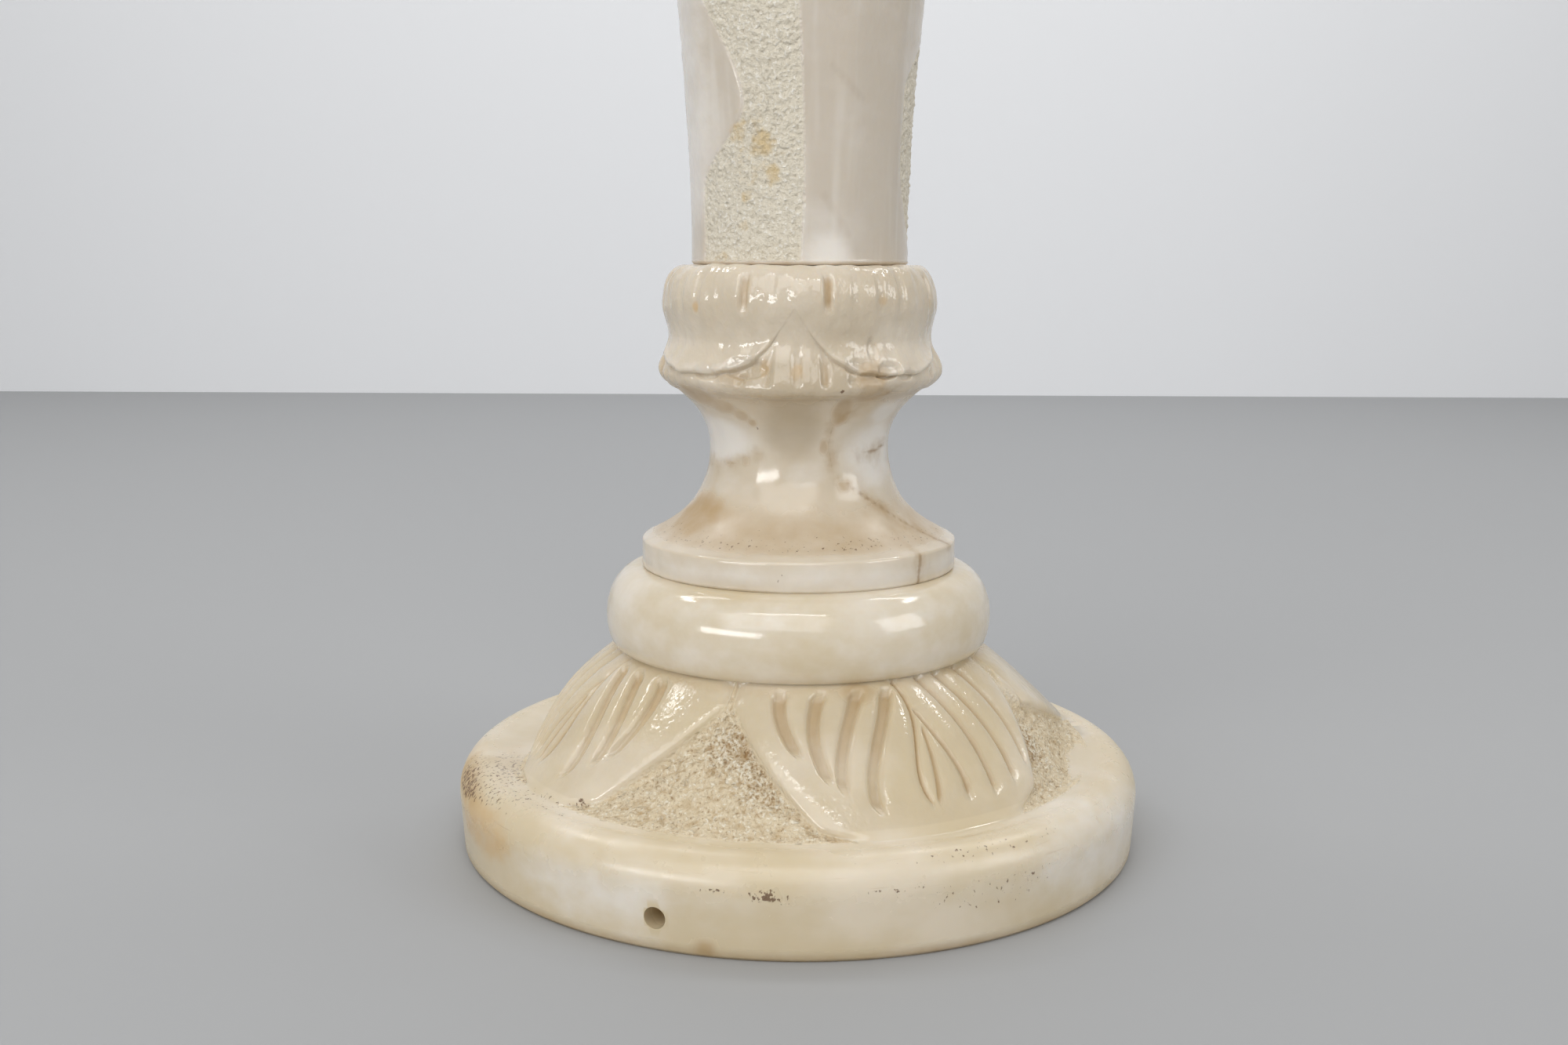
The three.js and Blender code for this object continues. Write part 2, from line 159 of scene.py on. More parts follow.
def noise(points: Values, cell: float, seed: int) -> Values:
    """Smooth random values between -1 and 1.

    Every corner of a cubic lattice holds a random value, scattered from its three whole-number
    places. A point takes the mix of the eight corners round it, eased by 3t^2 - 2t^3.

    Args:
        points: Places in millimetres, in the last axis.
        cell: Side of a lattice cell in millimetres.
        seed: Picks one of many patterns.

    Returns:
        One value for each point.
    """
    corner = np.floor(points / cell).astype(np.int64)
    part = points / cell - corner
    ease = part * part * (3.0 - 2.0 * part)
    total = np.zeros(points.shape[:-1])
    for step in np.ndindex(2, 2, 2):
        place = corner + np.array(step)
        key = place[..., 0] * SCATTER[0] ^ place[..., 1] * SCATTER[1]
        key = (key ^ place[..., 2] * SCATTER[2] ^ seed * SCATTER[3]) & WORD
        key = ((key ^ key >> SHIFTS[0]) * SCATTER[0]) & WORD
        key = ((key ^ key >> SHIFTS[1]) * SCATTER[2]) & WORD
        value = (key >> SHIFTS[2] & HALF_WORD) / (HALF_WORD / 2) - 1.0
        total += value * np.prod(np.where(np.array(step) == 1, ease, 1.0 - ease), axis=-1)
    return total


def bumps(points: Values, cell: float, seed: int) -> Values:
    """Rounded bumps with sharp creases between them: the size of the noise without its sign."""
    return np.abs(noise(points, cell, seed))


def punched(points: Values, cell: float, seed: int) -> tuple[Values, Values]:
    """Ground worked with a point: coarse rounded bumps, and finer ones between them.

    Its depth is 0.5 - 0.7 coarse - 0.5 fine. Where a bump is near 0, there is a crease.

    Args:
        points: Places in millimetres, in the last axis.
        cell: Size of the coarse bumps in millimetres.
        seed: Picks one of many patterns.

    Returns:
        The depth for a relief of 1, and the share of crease from 0 to 1.
    """
    coarse = bumps(points, cell, seed)
    fine = bumps(points, FINE_BUMP * cell, seed + 1)
    creases = 1.0 - smoothstep(coarse, *COARSE_CREASE)
    creases = creases + FINE_CREASE_SHARE * (1.0 - smoothstep(fine, *FINE_CREASE))
    return 0.5 - 0.7 * coarse - 0.5 * fine, np.minimum(creases, 1.0)


@dataclass(frozen=True)
class Wander:
    """Unevenness of hand work: noise of a height and a cell in millimetres, with its own seed."""

    height: float
    cell: float
    seed: int

    def depth(self, points: Values) -> Values:
        """Depth at each of the points."""
        return self.height * noise(points, self.cell, self.seed)


def bezier(start: Any, pull: Any, push: Any, end: Any, count: int) -> Values:
    """Points of a cubic Bezier curve, evenly spaced along it.

    Args:
        start: First point, as (radius, height).
        pull: Control point of the start.
        push: Control point of the end.
        end: Last point.
        count: Number of points.

    Returns:
        The points as rows of radius and height.
    """
    t = np.linspace(0.0, 1.0, CURVE_STEPS)[:, None]
    corners = [np.array(point, dtype=float) for point in (start, pull, push, end)]
    shares = [(1 - t) ** 3, 3 * t * (1 - t) ** 2, 3 * t * t * (1 - t), t**3]
    path = sum(share * corner for share, corner in zip(shares, corners))
    length = np.append(0.0, np.cumsum(np.hypot(*np.diff(path, axis=0).T)))
    even = np.linspace(0.0, length[-1], count)
    return np.stack([np.interp(even, length, path[:, axis]) for axis in (0, 1)], axis=-1)


def quarter(centre: Any, reach: Any, start: float, end: float, count: int) -> Values:
    """Points of an elliptic arc: centre + (reach_r cos t, reach_z sin t).

    Args:
        centre: Middle of the ellipse, as (radius, height).
        reach: Half its width and half its height.
        start: First angle in degrees.
        end: Last angle in degrees.
        count: Number of points.

    Returns:
        The points as rows of radius and height.
    """
    t = np.radians(np.linspace(start, end, count))
    return np.stack([centre[0] + reach[0] * np.cos(t), centre[1] + reach[1] * np.sin(t)], axis=-1)


@dataclass(frozen=True)
class Spot:
    """Soft oval patch of one layer on a piece."""

    layer: Layer
    angle: float
    height: float
    half_angle: float
    half_height: float
    strength: float = 1.0
    core: float = 0.3

    def weight(self, angle: Values, height: Values) -> Values:
        """Strength in the middle, falling to nothing at the oval's edge by a smoothstep.

        Args:
            angle: Angles of the vertices.
            height: Heights of the vertices.

        Returns:
            One weight for each vertex.
        """
        across = turned(angle - self.angle) / self.half_angle
        along = (height - self.height) / self.half_height
        return self.strength * (1.0 - smoothstep(np.hypot(across, along), self.core, 1.0))


def patches(layer: Layer, *rows: tuple[float, ...]) -> tuple[Spot, ...]:
    """Makes the spots of one layer from rows of their other fields."""
    return tuple(Spot(layer, *row) for row in rows)


@dataclass(frozen=True)
class Vein:
    """Thin vein in straight runs between (angle, height) points."""

    points: tuple[tuple[float, float], ...]
    strength: float = 1.0

    def nearness(self, angle: Values, height: Values, radius: Values) -> Values:
        """Strength on the vein, falling evenly to 0 at the reach, measured on the unrolled surface.

        Args:
            angle: Angles of the vertices.
            height: Heights of the vertices.
            radius: Radii of the vertices.

        Returns:
            One value for each vertex.
        """
        nearest = np.full(angle.shape, VEIN_REACH)
        for (angle_0, height_0), (angle_1, height_1) in zip(self.points, self.points[1:]):
            across = np.radians(turned(angle - angle_0)) * radius
            along = height - height_0
            run = np.radians(angle_1 - angle_0) * radius
            rise = height_1 - height_0
            part = np.clip((across * run + along * rise) / (run * run + rise * rise), 0.0, 1.0)
            nearest = np.minimum(nearest, np.hypot(across - part * run, along - part * rise))
        return self.strength * (1.0 - nearest / VEIN_REACH)


def add_mesh(name: str, places: Any, faces: list[Any]) -> bpy.types.Object:
    """Adds a mesh to the scene.

    Args:
        name: Name of the new object and its mesh.
        places: Vertices in metres.
        faces: Numbers of the vertices of each face.

    Returns:
        The object, at the origin.
    """
    mesh = bpy.data.meshes.new(name)
    mesh.from_pydata(places, [], faces)
    made = bpy.data.objects.new(name, mesh)
    bpy.context.scene.collection.objects.link(made)
    return made


@dataclass
class Turning:
    """Closed surface of a turned and carved piece, as a grid round the axis.

    Rows go from the bottom up and columns once round. A point of the surface is
    (r sin a, -r cos a, z) for its angle a, radius r and height z. What is given for rows or
    columns alone is spread over the grid.
    """

    angle: Values
    radius: Values
    height: Values
    layers: dict[Layer, Values] = field(default_factory=dict)

    def __post_init__(self) -> None:
        """Spreads angles, radii and heights over the whole grid."""
        self.angle, self.radius, self.height = np.broadcast_arrays(self.angle, self.radius, self.height)

    def points(self) -> Values:
        """Places of the grid's points in millimetres."""
        turn = np.radians(self.angle)
        return np.stack([self.radius * np.sin(turn), -self.radius * np.cos(turn), self.height], axis=-1)

    def cut(self, depth: Values) -> None:
        """Moves every point inwards by its depth, square to the profile.

        The profile's direction (dr, dz) is the difference of the neighbouring rows, and its outward
        normal is (dz, -dr) at unit length.

        Args:
            depth: Depth of each point.
        """
        reach = np.gradient(self.radius, axis=0)
        rise = np.gradient(self.height, axis=0)
        length = np.hypot(reach, rise)
        self.radius = self.radius - depth * rise / length
        self.height = self.height + depth * reach / length

    def lay(self, layer: Layer, values: Any) -> None:
        """Adds values to a layer, where the larger of old and new holds.

        Args:
            layer: The layer.
            values: One value for each point, or one for all.
        """
        old = self.layers.get(layer, np.zeros(self.angle.shape))
        self.layers[layer] = np.maximum(old, np.broadcast_to(values, self.angle.shape))

    def paint(self, spots: tuple[Spot, ...], veins: tuple[Vein, ...] = ()) -> None:
        """Lays spots and veins on the surface.

        Args:
            spots: Patches of the layers.
            veins: Veins of the stone.
        """
        for spot in spots:
            self.lay(spot.layer, spot.weight(self.angle, self.height))
        for vein in veins:
            self.lay(Layer.VEIN, vein.nearness(self.angle, self.height, self.radius))

    def piece(self, name: str) -> bpy.types.Object:
        """Makes the mesh: quads between the rows and a fan to the axis at both ends.

        Args:
            name: Name of the new object.

        Returns:
            The object, at the origin and shaded smooth.
        """
        rows, columns = self.angle.shape
        at = np.arange(rows * columns).reshape(rows, columns)
        right = np.roll(at, -1, axis=1)
        quads = np.stack([at[:-1], right[:-1], right[1:], at[1:]], axis=-1).reshape(-1, 4)
        pole = np.full(columns, rows * columns)
        bottom = np.stack([pole, right[0], at[0]], axis=-1)
        top = np.stack([pole + 1, at[-1], right[-1]], axis=-1)
        ends = [[0.0, 0.0, self.height[0].mean()], [0.0, 0.0, self.height[-1].mean()]]
        places = np.concatenate([self.points().reshape(-1, 3), ends]) * MM
        piece = add_mesh(name, places, [*quads.tolist(), *bottom.tolist(), *top.tolist()])
        piece.data.shade_smooth()
        for layer, values in self.layers.items():
            attribute = piece.data.attributes.new(layer.value, "FLOAT", "POINT")
            attribute.data.foreach_set("value", np.append(values.ravel(), [0.0, 0.0]))
        return piece


def add_node(
    tree: Tree, kind: str, settings: Settings | None = None, links: Links | None = None
) -> bpy.types.Node:
    """Adds a node with its settings and links.

    Args:
        tree: Tree of the material.
        kind: Type of the node.
        settings: Properties of the node by name, and values of its inputs by name or number.
        links: Sockets that feed its inputs, by name or number.

    Returns:
        The new node.
    """
    node = tree.nodes.new(kind)
    for key, value in (settings or {}).items():
        if isinstance(key, str) and hasattr(node, key):
            setattr(node, key, value)
        else:
            node.inputs[key].default_value = value
    for key, source in (links or {}).items():
        tree.links.new(source, node.inputs[key])
    return node


@dataclass(frozen=True)
class Coat:
    """One colour over the stone: where layer + sway * (grain - 0.5) rises from low to high."""

    colour: str
    layer: Layer | None
    grain: Grain
    sway: float
    low: float
    high: float
    cover: float


Sources = dict[Grain | Layer, Socket]


@dataclass(frozen=True)
class Alabaster:
    """Gypsum alabaster, turned, carved and rubbed to a waxy polish.

    It lets light in about a millimetre deep, so edges glow and shade stays soft. The polish gives
    small sharp highlights; the punched ground between the carving scatters light and holds dirt.
    """

    name: str
    body: str
    coats: tuple[Coat, ...]
    grain_rough: float = 0.55
    polish: float = 0.08
    polish_spread: float = 0.1
    # Values of the mottle between which the polish changes
    mottle_range: tuple[float, float] = (0.3, 0.7)
    shine: float = 0.75
    ground_rough: float = 0.6
    dirt_rough: float = 0.45
    worn_rough: float = 0.17
    ior: float = 1.52
    depth: float = 1.5
    glow: float = 0.4
    radius: tuple[float, float, float] = (1.0, 0.78, 0.52)
    grit_height: float = 1.7
    # Mean of the two patterns of the grit, so that the ground doesn't drop at its edges
    grit_level: float = 0.62
    ripple_height: float = 0.42

    def sources(self, tree: Tree) -> Sources:
        """Makes every grain on Object coordinates, and reads every layer of the piece.

        Args:
            tree: Tree of the material.

        Returns:
            The sockets of all grains and layers.
        """
        place = add_node(tree, "ShaderNodeTexCoord").outputs["Object"]
        made: Sources = {}
        for grain in Grain:
            around, up, octaves = grain.value
            cells = (1 / (around * MM), 1 / (around * MM), 1 / (up * MM))
            spread = add_node(tree, "ShaderNodeMapping", {"Scale": cells}, {"Vector": place})
            pattern: Settings = {"Scale": 1.0, "Detail": octaves, "Roughness": self.grain_rough}
            if grain is Grain.PUNCH:
                pattern = {"noise_type": "RIDGED_MULTIFRACTAL", **pattern}
            links: Links = {"Vector": spread.outputs[0]}
            made[grain] = add_node(tree, "ShaderNodeTexNoise", pattern, links).outputs[0]
        for layer in Layer:
            reader = add_node(tree, "ShaderNodeAttribute", {"attribute_name": layer.value})
            made[layer] = reader.outputs["Fac"]
        return made

    def colour(self, tree: Tree, sources: Sources) -> Socket:
        """Lays the coats over the body colour, one after the other.

        Args:
            tree: Tree of the material.
            sources: Sockets of grains and layers.

        Returns:
            The colour.
        """
        links: Links = {}
        for coat in self.coats:
            value = sources[coat.grain]
            if coat.layer is not None:
                centred = add_node(tree, "ShaderNodeMath", {"operation": "SUBTRACT", 1: 0.5}, {0: value})
                value = add_node(
                    tree,
                    "ShaderNodeMath",
                    {"operation": "MULTIPLY_ADD", 1: coat.sway},
                    {0: centred.outputs[0], 2: sources[coat.layer]},
                ).outputs[0]
            mask = add_node(
                tree,
                "ShaderNodeMapRange",
                {"interpolation_type": "SMOOTHSTEP", 1: coat.low, 2: coat.high, 4: coat.cover},
                {0: value},
            )
            mix = add_node(
                tree,
                "ShaderNodeMix",
                {"data_type": "RGBA", 6: to_linear(self.body), 7: to_linear(coat.colour)},
                {0: mask.outputs[0], **links},
            )
            links = {6: mix.outputs[2]}
        return mix.outputs[2]

    def roughness(self, tree: Tree, sources: Sources) -> Socket:
        """Varies the polish by the mottle, and roughens ground, dirt and worn stone.

        Args:
            tree: Tree of the material.
            sources: Sockets of grains and layers.

        Returns:
            The roughness.
        """
        low, high = self.mottle_range
        rough = add_node(
            tree,
            "ShaderNodeMapRange",
            {1: low, 2: high, 3: self.polish, 4: self.polish + self.polish_spread},
            {0: sources[Grain.MOTTLE]},
        ).outputs[0]
        scuffs = {
            Layer.GROUND: self.ground_rough,
            Layer.DIRT_AND_SHADE: self.dirt_rough,
            Layer.WORN: self.worn_rough,
        }
        for layer, amount in scuffs.items():
            rough = add_node(
                tree,
                "ShaderNodeMath",
                {"operation": "MULTIPLY_ADD", 1: amount, "use_clamp": True},
                {0: sources[layer], 2: rough},
            ).outputs[0]
        return rough

    def relief(self, tree: Tree, sources: Sources) -> Socket:
        """Ripples the carved stone, and then grits the ground.

        Args:
            tree: Tree of the material.
            sources: Sockets of grains and layers.

        Returns:
            The normal.
        """
        creased = add_node(
            tree, "ShaderNodeMath", {"operation": "ADD"}, {0: sources[Grain.PUNCH], 1: sources[Grain.GRIT]}
        )
        grit = add_node(
            tree,
            "ShaderNodeMath",
            {"operation": "SUBTRACT", 1: self.grit_level},
            {0: creased.outputs[0]},
        )
        links: Links = {}
        for pattern, layer, height, sunk in (
            (sources[Grain.RIPPLE], Layer.CARVED, self.ripple_height, False),
            (grit.outputs[0], Layer.GROUND, self.grit_height, True),
        ):
            shown = add_node(
                tree, "ShaderNodeMath", {"operation": "MULTIPLY"}, {0: pattern, 1: sources[layer]}
            )
            bump = add_node(
                tree,
                "ShaderNodeBump",
                {"Strength": 1.0, "Distance": height * MM, "invert": sunk},
                {"Height": shown.outputs[0], **links},
            )
            links = {"Normal": bump.outputs[0]}
        return bump.outputs[0]

    def material(self) -> bpy.types.Material:
        """Builds the stone: coats over the body colour, then polish, ripples and grit.

        Returns:
            The material.
        """
        made = bpy.data.materials.new(self.name)
        made.use_nodes = True
        tree = made.node_tree
        tree.nodes.clear()
        sources = self.sources(tree)
        glow = add_node(
            tree,
            "ShaderNodeMath",
            {"operation": "MULTIPLY_ADD", 1: -self.glow, 2: self.glow, "use_clamp": True},
            {0: sources[Layer.GROUND]},
        )
        stone = add_node(
            tree,
            "ShaderNodeBsdfPrincipled",
            {
                "IOR": self.ior,
                "Specular IOR Level": self.shine,
                "Subsurface Radius": self.radius,
                "Subsurface Scale": self.depth * MM,
            },
            {
                "Base Color": self.colour(tree, sources),
                "Roughness": self.roughness(tree, sources),
                "Normal": self.relief(tree, sources),
                "Subsurface Weight": glow.outputs[0],
            },
        )
        add_node(tree, "ShaderNodeOutputMaterial", links={"Surface": stone.outputs[0]})
        return made


# Colours of dirt, veins and wear, and painted highlight, shade and glow. The grain frays their edges.
CLOUDS = Coat("eae0d0", None, Grain.CLOUD, 0.0, 0.42, 0.7, 0.55)
COOL_CLOUDS = Coat("e6dfd6", None, Grain.CLOUD, 0.0, 0.4, 0.7, 0.6)
STREAKS = Coat("e8e2d8", None, Grain.STREAK, 0.0, 0.48, 0.72, 0.35)
# Milky white of the stone, and of the painted glow along thin edges
MILKY_AND_GLOW = Coat("efeae2", Layer.MILK_AND_GLOW, Grain.PATCH, 0.9, 0.05, 1.0, 0.9)
VEIN_SHADE = Coat("b3986f", Layer.VEIN, Grain.MOTTLE, 0.8, 0.72, 1.1, 0.5)
VEIN_LINE = Coat("95764f", Layer.VEIN, Grain.RAGGED, 0.1, 0.93, 1.0, 0.6)
FAINT_VEIN = Coat("aa9478", Layer.VEIN, Grain.RAGGED, 0.05, 0.87, 1.0, 0.15)
CLEAR_STONE = Coat("b9a88c", Layer.CLEAR, Grain.PATCH, 0.5, 0.1, 1.0, 0.65)
OCHRE = Coat("d2b16c", Layer.STAIN, Grain.RAGGED, 1.7, 0.25, 1.0, 0.6)
OCHRE_CLOUD = Coat("cfa768", Layer.STAIN, Grain.MOTTLE, 0.8, 0.2, 1.0, 0.6)
BEIGE_GROUND = Coat("e3d2b2", Layer.GROUND, Grain.MOTTLE, 0.2, 0.3, 0.8, 0.9)
# Painted highlights on the tops of the punched ground's bumps
PAINTED_HIGHLIGHT_GRAINS = Coat("f9f1de", Layer.GROUND, Grain.GRIT, -3.2, 1.1, 1.6, 0.9)
TAN_CLUMPS = Coat("b8996e", Layer.GROUND, Grain.RAGGED, 2.4, 1.05, 1.75, 0.8)
# Brown dirt, with painted shade, in the pits of the punched ground
BROWN_PITS_AND_SHADE = Coat("8e652e", Layer.GROUND, Grain.GRIT, 3.4, 1.25, 1.75, 0.64)
WHITE_GROUND = Coat("e2d9c5", Layer.GROUND, Grain.MOTTLE, 0.2, 0.3, 0.8, 0.9)
# Painted highlights on the tops of the shaft's punched bumps
WHITE_PAINTED_HIGHLIGHTS = Coat("f6f1e6", Layer.GROUND, Grain.GRIT, -3.2, 1.1, 1.6, 0.9)
# Painted shade in the pits of the shaft's punched ground
PAINTED_SHADE_PITS = Coat("ac9c80", Layer.GROUND, Grain.GRIT, 3.2, 1.15, 1.8, 0.5)
WORN_LINES = Coat("a88a5c", Layer.WORN, Grain.SCRATCH, 2.6, 1.4, 1.8, 0.4)
# Brown of dirt, and of the painted shade in creases and under overhangs
DIRTY_AND_SHADED = Coat("b29363", Layer.DIRT_AND_SHADE, Grain.MOTTLE, 0.4, 0.1, 0.95, 0.85)
# Dark flecks where the dirt and painted shade are strongest
GRIME = Coat("6b4e2c", Layer.DIRT_AND_SHADE, Grain.FLECK, 1.6, 1.05, 1.5, 0.5)
SPECKLED = Coat("5e3712", Layer.SPECKS, Grain.FLECK, 3.0, 0.9, 1.12, 0.82)


@dataclass(frozen=True)
class Mark:
    """Path of one tool mark up a leaf, as angles from the leaf's middle at four even heights.

    The mark runs out downwards at its end and, where it has one, upwards at its start.
    """

    low: float
    lower: float
    upper: float
    top: float
    end: float
    start: float = 2.0
    depth: float = 3.5
    width: float = 11.0

    def path(self, part: Values) -> Values:
        """Cubic through the four angles at parts 0, 1/3, 2/3 and 1 of the way up.

        Args:
            part: How far up, from 0 to 1.

        Returns:
            The angle at each height.
        """
        third = part * 3.0
        return (
            self.low * (1 - third) * (2 - third) * (3 - third) / 6
            + self.lower * third * (2 - third) * (3 - third) / 2
            + self.upper * third * (third - 1) * (3 - third) / 2
            + self.top * third * (third - 1) * (third - 2) / 6
        )


@dataclass(frozen=True)
class Hook:
    """How far a leaf's edge stands back low down: all of its angle at start, none at end."""

    angle: float
    start: float
    end: float

    def back(self, up: Values) -> Values:
        """Angle at each height, falling by a smoothstep."""
        return self.angle * (1.0 - smoothstep(up, self.start, self.end))


@dataclass(frozen=True)
class Leaf:
    """What sets one leaf of the bell apart: its first gouge, its strips and its edges' hooks.

    Where it is covered, the ground beside its strips ends at this height, and smooth stone is left
    standing above a line that falls away from the leaf.
    """

    first_gouge: int
    gouge_hooks: tuple[Hook, ...]
    strip_hooks: tuple[Hook, ...]
    strip_count: int = 6
    covered_from: float = 2.0


@dataclass(frozen=True)
class Fall:
    """Place where the ground lies deeper, or shallower, beside a leaf, up to a height of the bell.

    A smooth one isn't punched low down.
    """

    angle: float
    half_angle: float
    depth: float
    top: float = 2.0
    smooth: bool = False

    def dip(self, angle: Values, up: Values) -> Values:
        """Share of the depth: a bell curve round the place, faded out below its top.

        Args:
            angle: Angles of the points.
            up: Heights up the bell.

        Returns:
            The share at each point.
        """
        beside = np.exp(-((turned(angle - self.angle) / self.half_angle) ** 2))
        return beside * (1.0 - smoothstep(up, self.top - FALL_FADE, self.top))


# Lower corners of a leaf, rounded off
CORNER = Hook(4.5, 0.0, 0.1)
WIDE_CORNER = Hook(5.0, 0.0, 0.16)


@dataclass
class Foot:
    """Foot from one block: round disc, bell carved with leaves, and torus under the neck."""

    top: float = 121.0
    underside: float = 147.8
    bevel: float = 1.8
    base: float = 149.4
    rim: float = 150.9
    shoulder: float = 25.0
    rim_top: float = 39.0
    rim_inner: float = 138.0
    bell: float = 131.0
    bell_base: float = 38.5
    bell_neck: float = 79.5
    bell_top: float = 86.0
    low_pull: tuple[float, float] = (118.0, 53.0)
    high_pull: tuple[float, float] = (99.0, 73.0)
    torus_root: float = 80.5
    torus_root_at: float = 86.5
    torus: float = 85.4
    torus_middle: float = 100.5
    bed: float = 70.0
    hole_angle: float = -20.5
    hole_height: float = 13.5
    hole_radius: float = 4.4
    hole_depth: float = 14.0
    # The drill's blunt point: its height and its width as a share; and how far the drill sticks out
    hole_point: float = 1.0
    hole_point_width: float = 0.75
    drill_past: float = 6.0
    drill_sides: int = 40
    # Edges that turn by more than this angle stay crisp
    crisp: float = 65.0
    leaf_angle: float = 27.0
    # From the front leaf on, to the right; every other one is a mirror image
    leaves: tuple[Leaf, ...] = (
        Leaf(0, (CORNER,), (WIDE_CORNER,), covered_from=0.65),
        Leaf(1, (CORNER,), (Hook(19.5, -0.2, 0.72), Hook(-9.2, 2.0, 3.0)), strip_count=4),
        Leaf(0, (CORNER,), (WIDE_CORNER,)),
        Leaf(1, (CORNER,), (Hook(19.0, 0.1, 1.0), Hook(6.0, 0.0, 0.07))),
    )
    ground_half: float = 24.0
    ground_apex: float = 0.87
    ground_slit: float = 0.7
    ground_depth: float = 6.0
    falls: tuple[Fall, ...] = (
        Fall(93.0, 15.0, -4.0),
        Fall(82.0, 15.0, 6.5, 0.4),
        Fall(-101.0, 22.0, 12.0, smooth=True),
    )
    # Heights between which the ground of a smooth fall turns rough
    smooth_end: tuple[float, float] = (0.1, 0.4)
    ground_shallow: float = 0.03
    ground_wall: float = 2.2
    # How far above its apex the ground is still rough
    apex_margin: float = 0.02
    # Heights up the bell over which carving and stipple start above the rim
    carving_start: float = 0.04
    stipple_start: float = 0.06
    # Heights from the bell's base between which the ground starts to show
    ground_start: tuple[float, float] = (-0.2, 0.6)
    # Fall, in heights up the bell for each degree, of the line above which ground is covered
    cover_slope: float = 0.0163
    cover_edge: float = 0.12
    # Angle that the ground's columns keep above its apex
    fan: float = 4.0
    roll_width: float = 10.0
    roll_depth: float = 2.6
    # Height where the marks' paths start, and heights over which a mark runs out at its two ends
    low: float = 0.2
    fade: float = 0.12
    start_fade: float = 0.072
    gouge_half: float = 3.5
    gouge_flat: float = 0.62
    gouge_taper: float = 0.72
    gouge_tip: float = 0.55
    gouge_depth: float = 2.3
    # The ridges between gouges, and the free edges of the strips, are rounded off: width and depth
    ridge_width: float = 3.4
    ridge_depth: float = 0.6
    lip_width: float = 5.0
    lip_depth: float = 1.0
    strip_edge: float = 0.55
    stipple_cell: float = 3.6
    stipple_height: float = 2.4
    stipple_seed: int = 3
    wanders: tuple[Wander, ...] = (Wander(0.28, 34.0, 5), Wander(0.07, 7.0, 6))
    rim_wander: float = 0.35
    # Dirt in a gouge low down and high up, and the heights between which it grows
    gouge_dirt: tuple[float, float] = (0.42, 0.66)
    gouge_dirt_up: tuple[float, float] = (0.3, 0.95)
    # Dirt and painted shade below a strip's edge: a dark line that ends between two widths, and a painted
    # shade over half the strip
    line_widths: tuple[float, float] = (0.4, 2.2)
    strip_shade_and_dirt: float = 0.62
    shade_start: float = 0.3
    # Painted shade, with dirt, in the creases of the punched ground
    crease_dirt_and_shade: float = 0.5
    # The rim's side is darker towards the bottom: how much, and the heights between which it ends
    low_edge_darkening: float = 0.55
    low_edge_darkening_heights: tuple[float, float] = (1.0, 5.0)
    # Ripples on bell and torus, and the heights between which they grow on the bell
    bell_ripples: float = 0.65
    torus_ripples: float = 0.12
    ripple_heights: tuple[float, float] = (39.0, 44.0)
    specks: float = 0.04
    # Clear stone on the leaves, from this height above the rim
    clear: float = 0.42
    clear_above: float = 3.0
    # Wear of the rim's side, the heights between which it grows, and how far inwards it goes
    side_wear: float = 0.55
    wear_heights: tuple[float, float] = (18.0, 30.0)
    wear_inside: float = 6.0
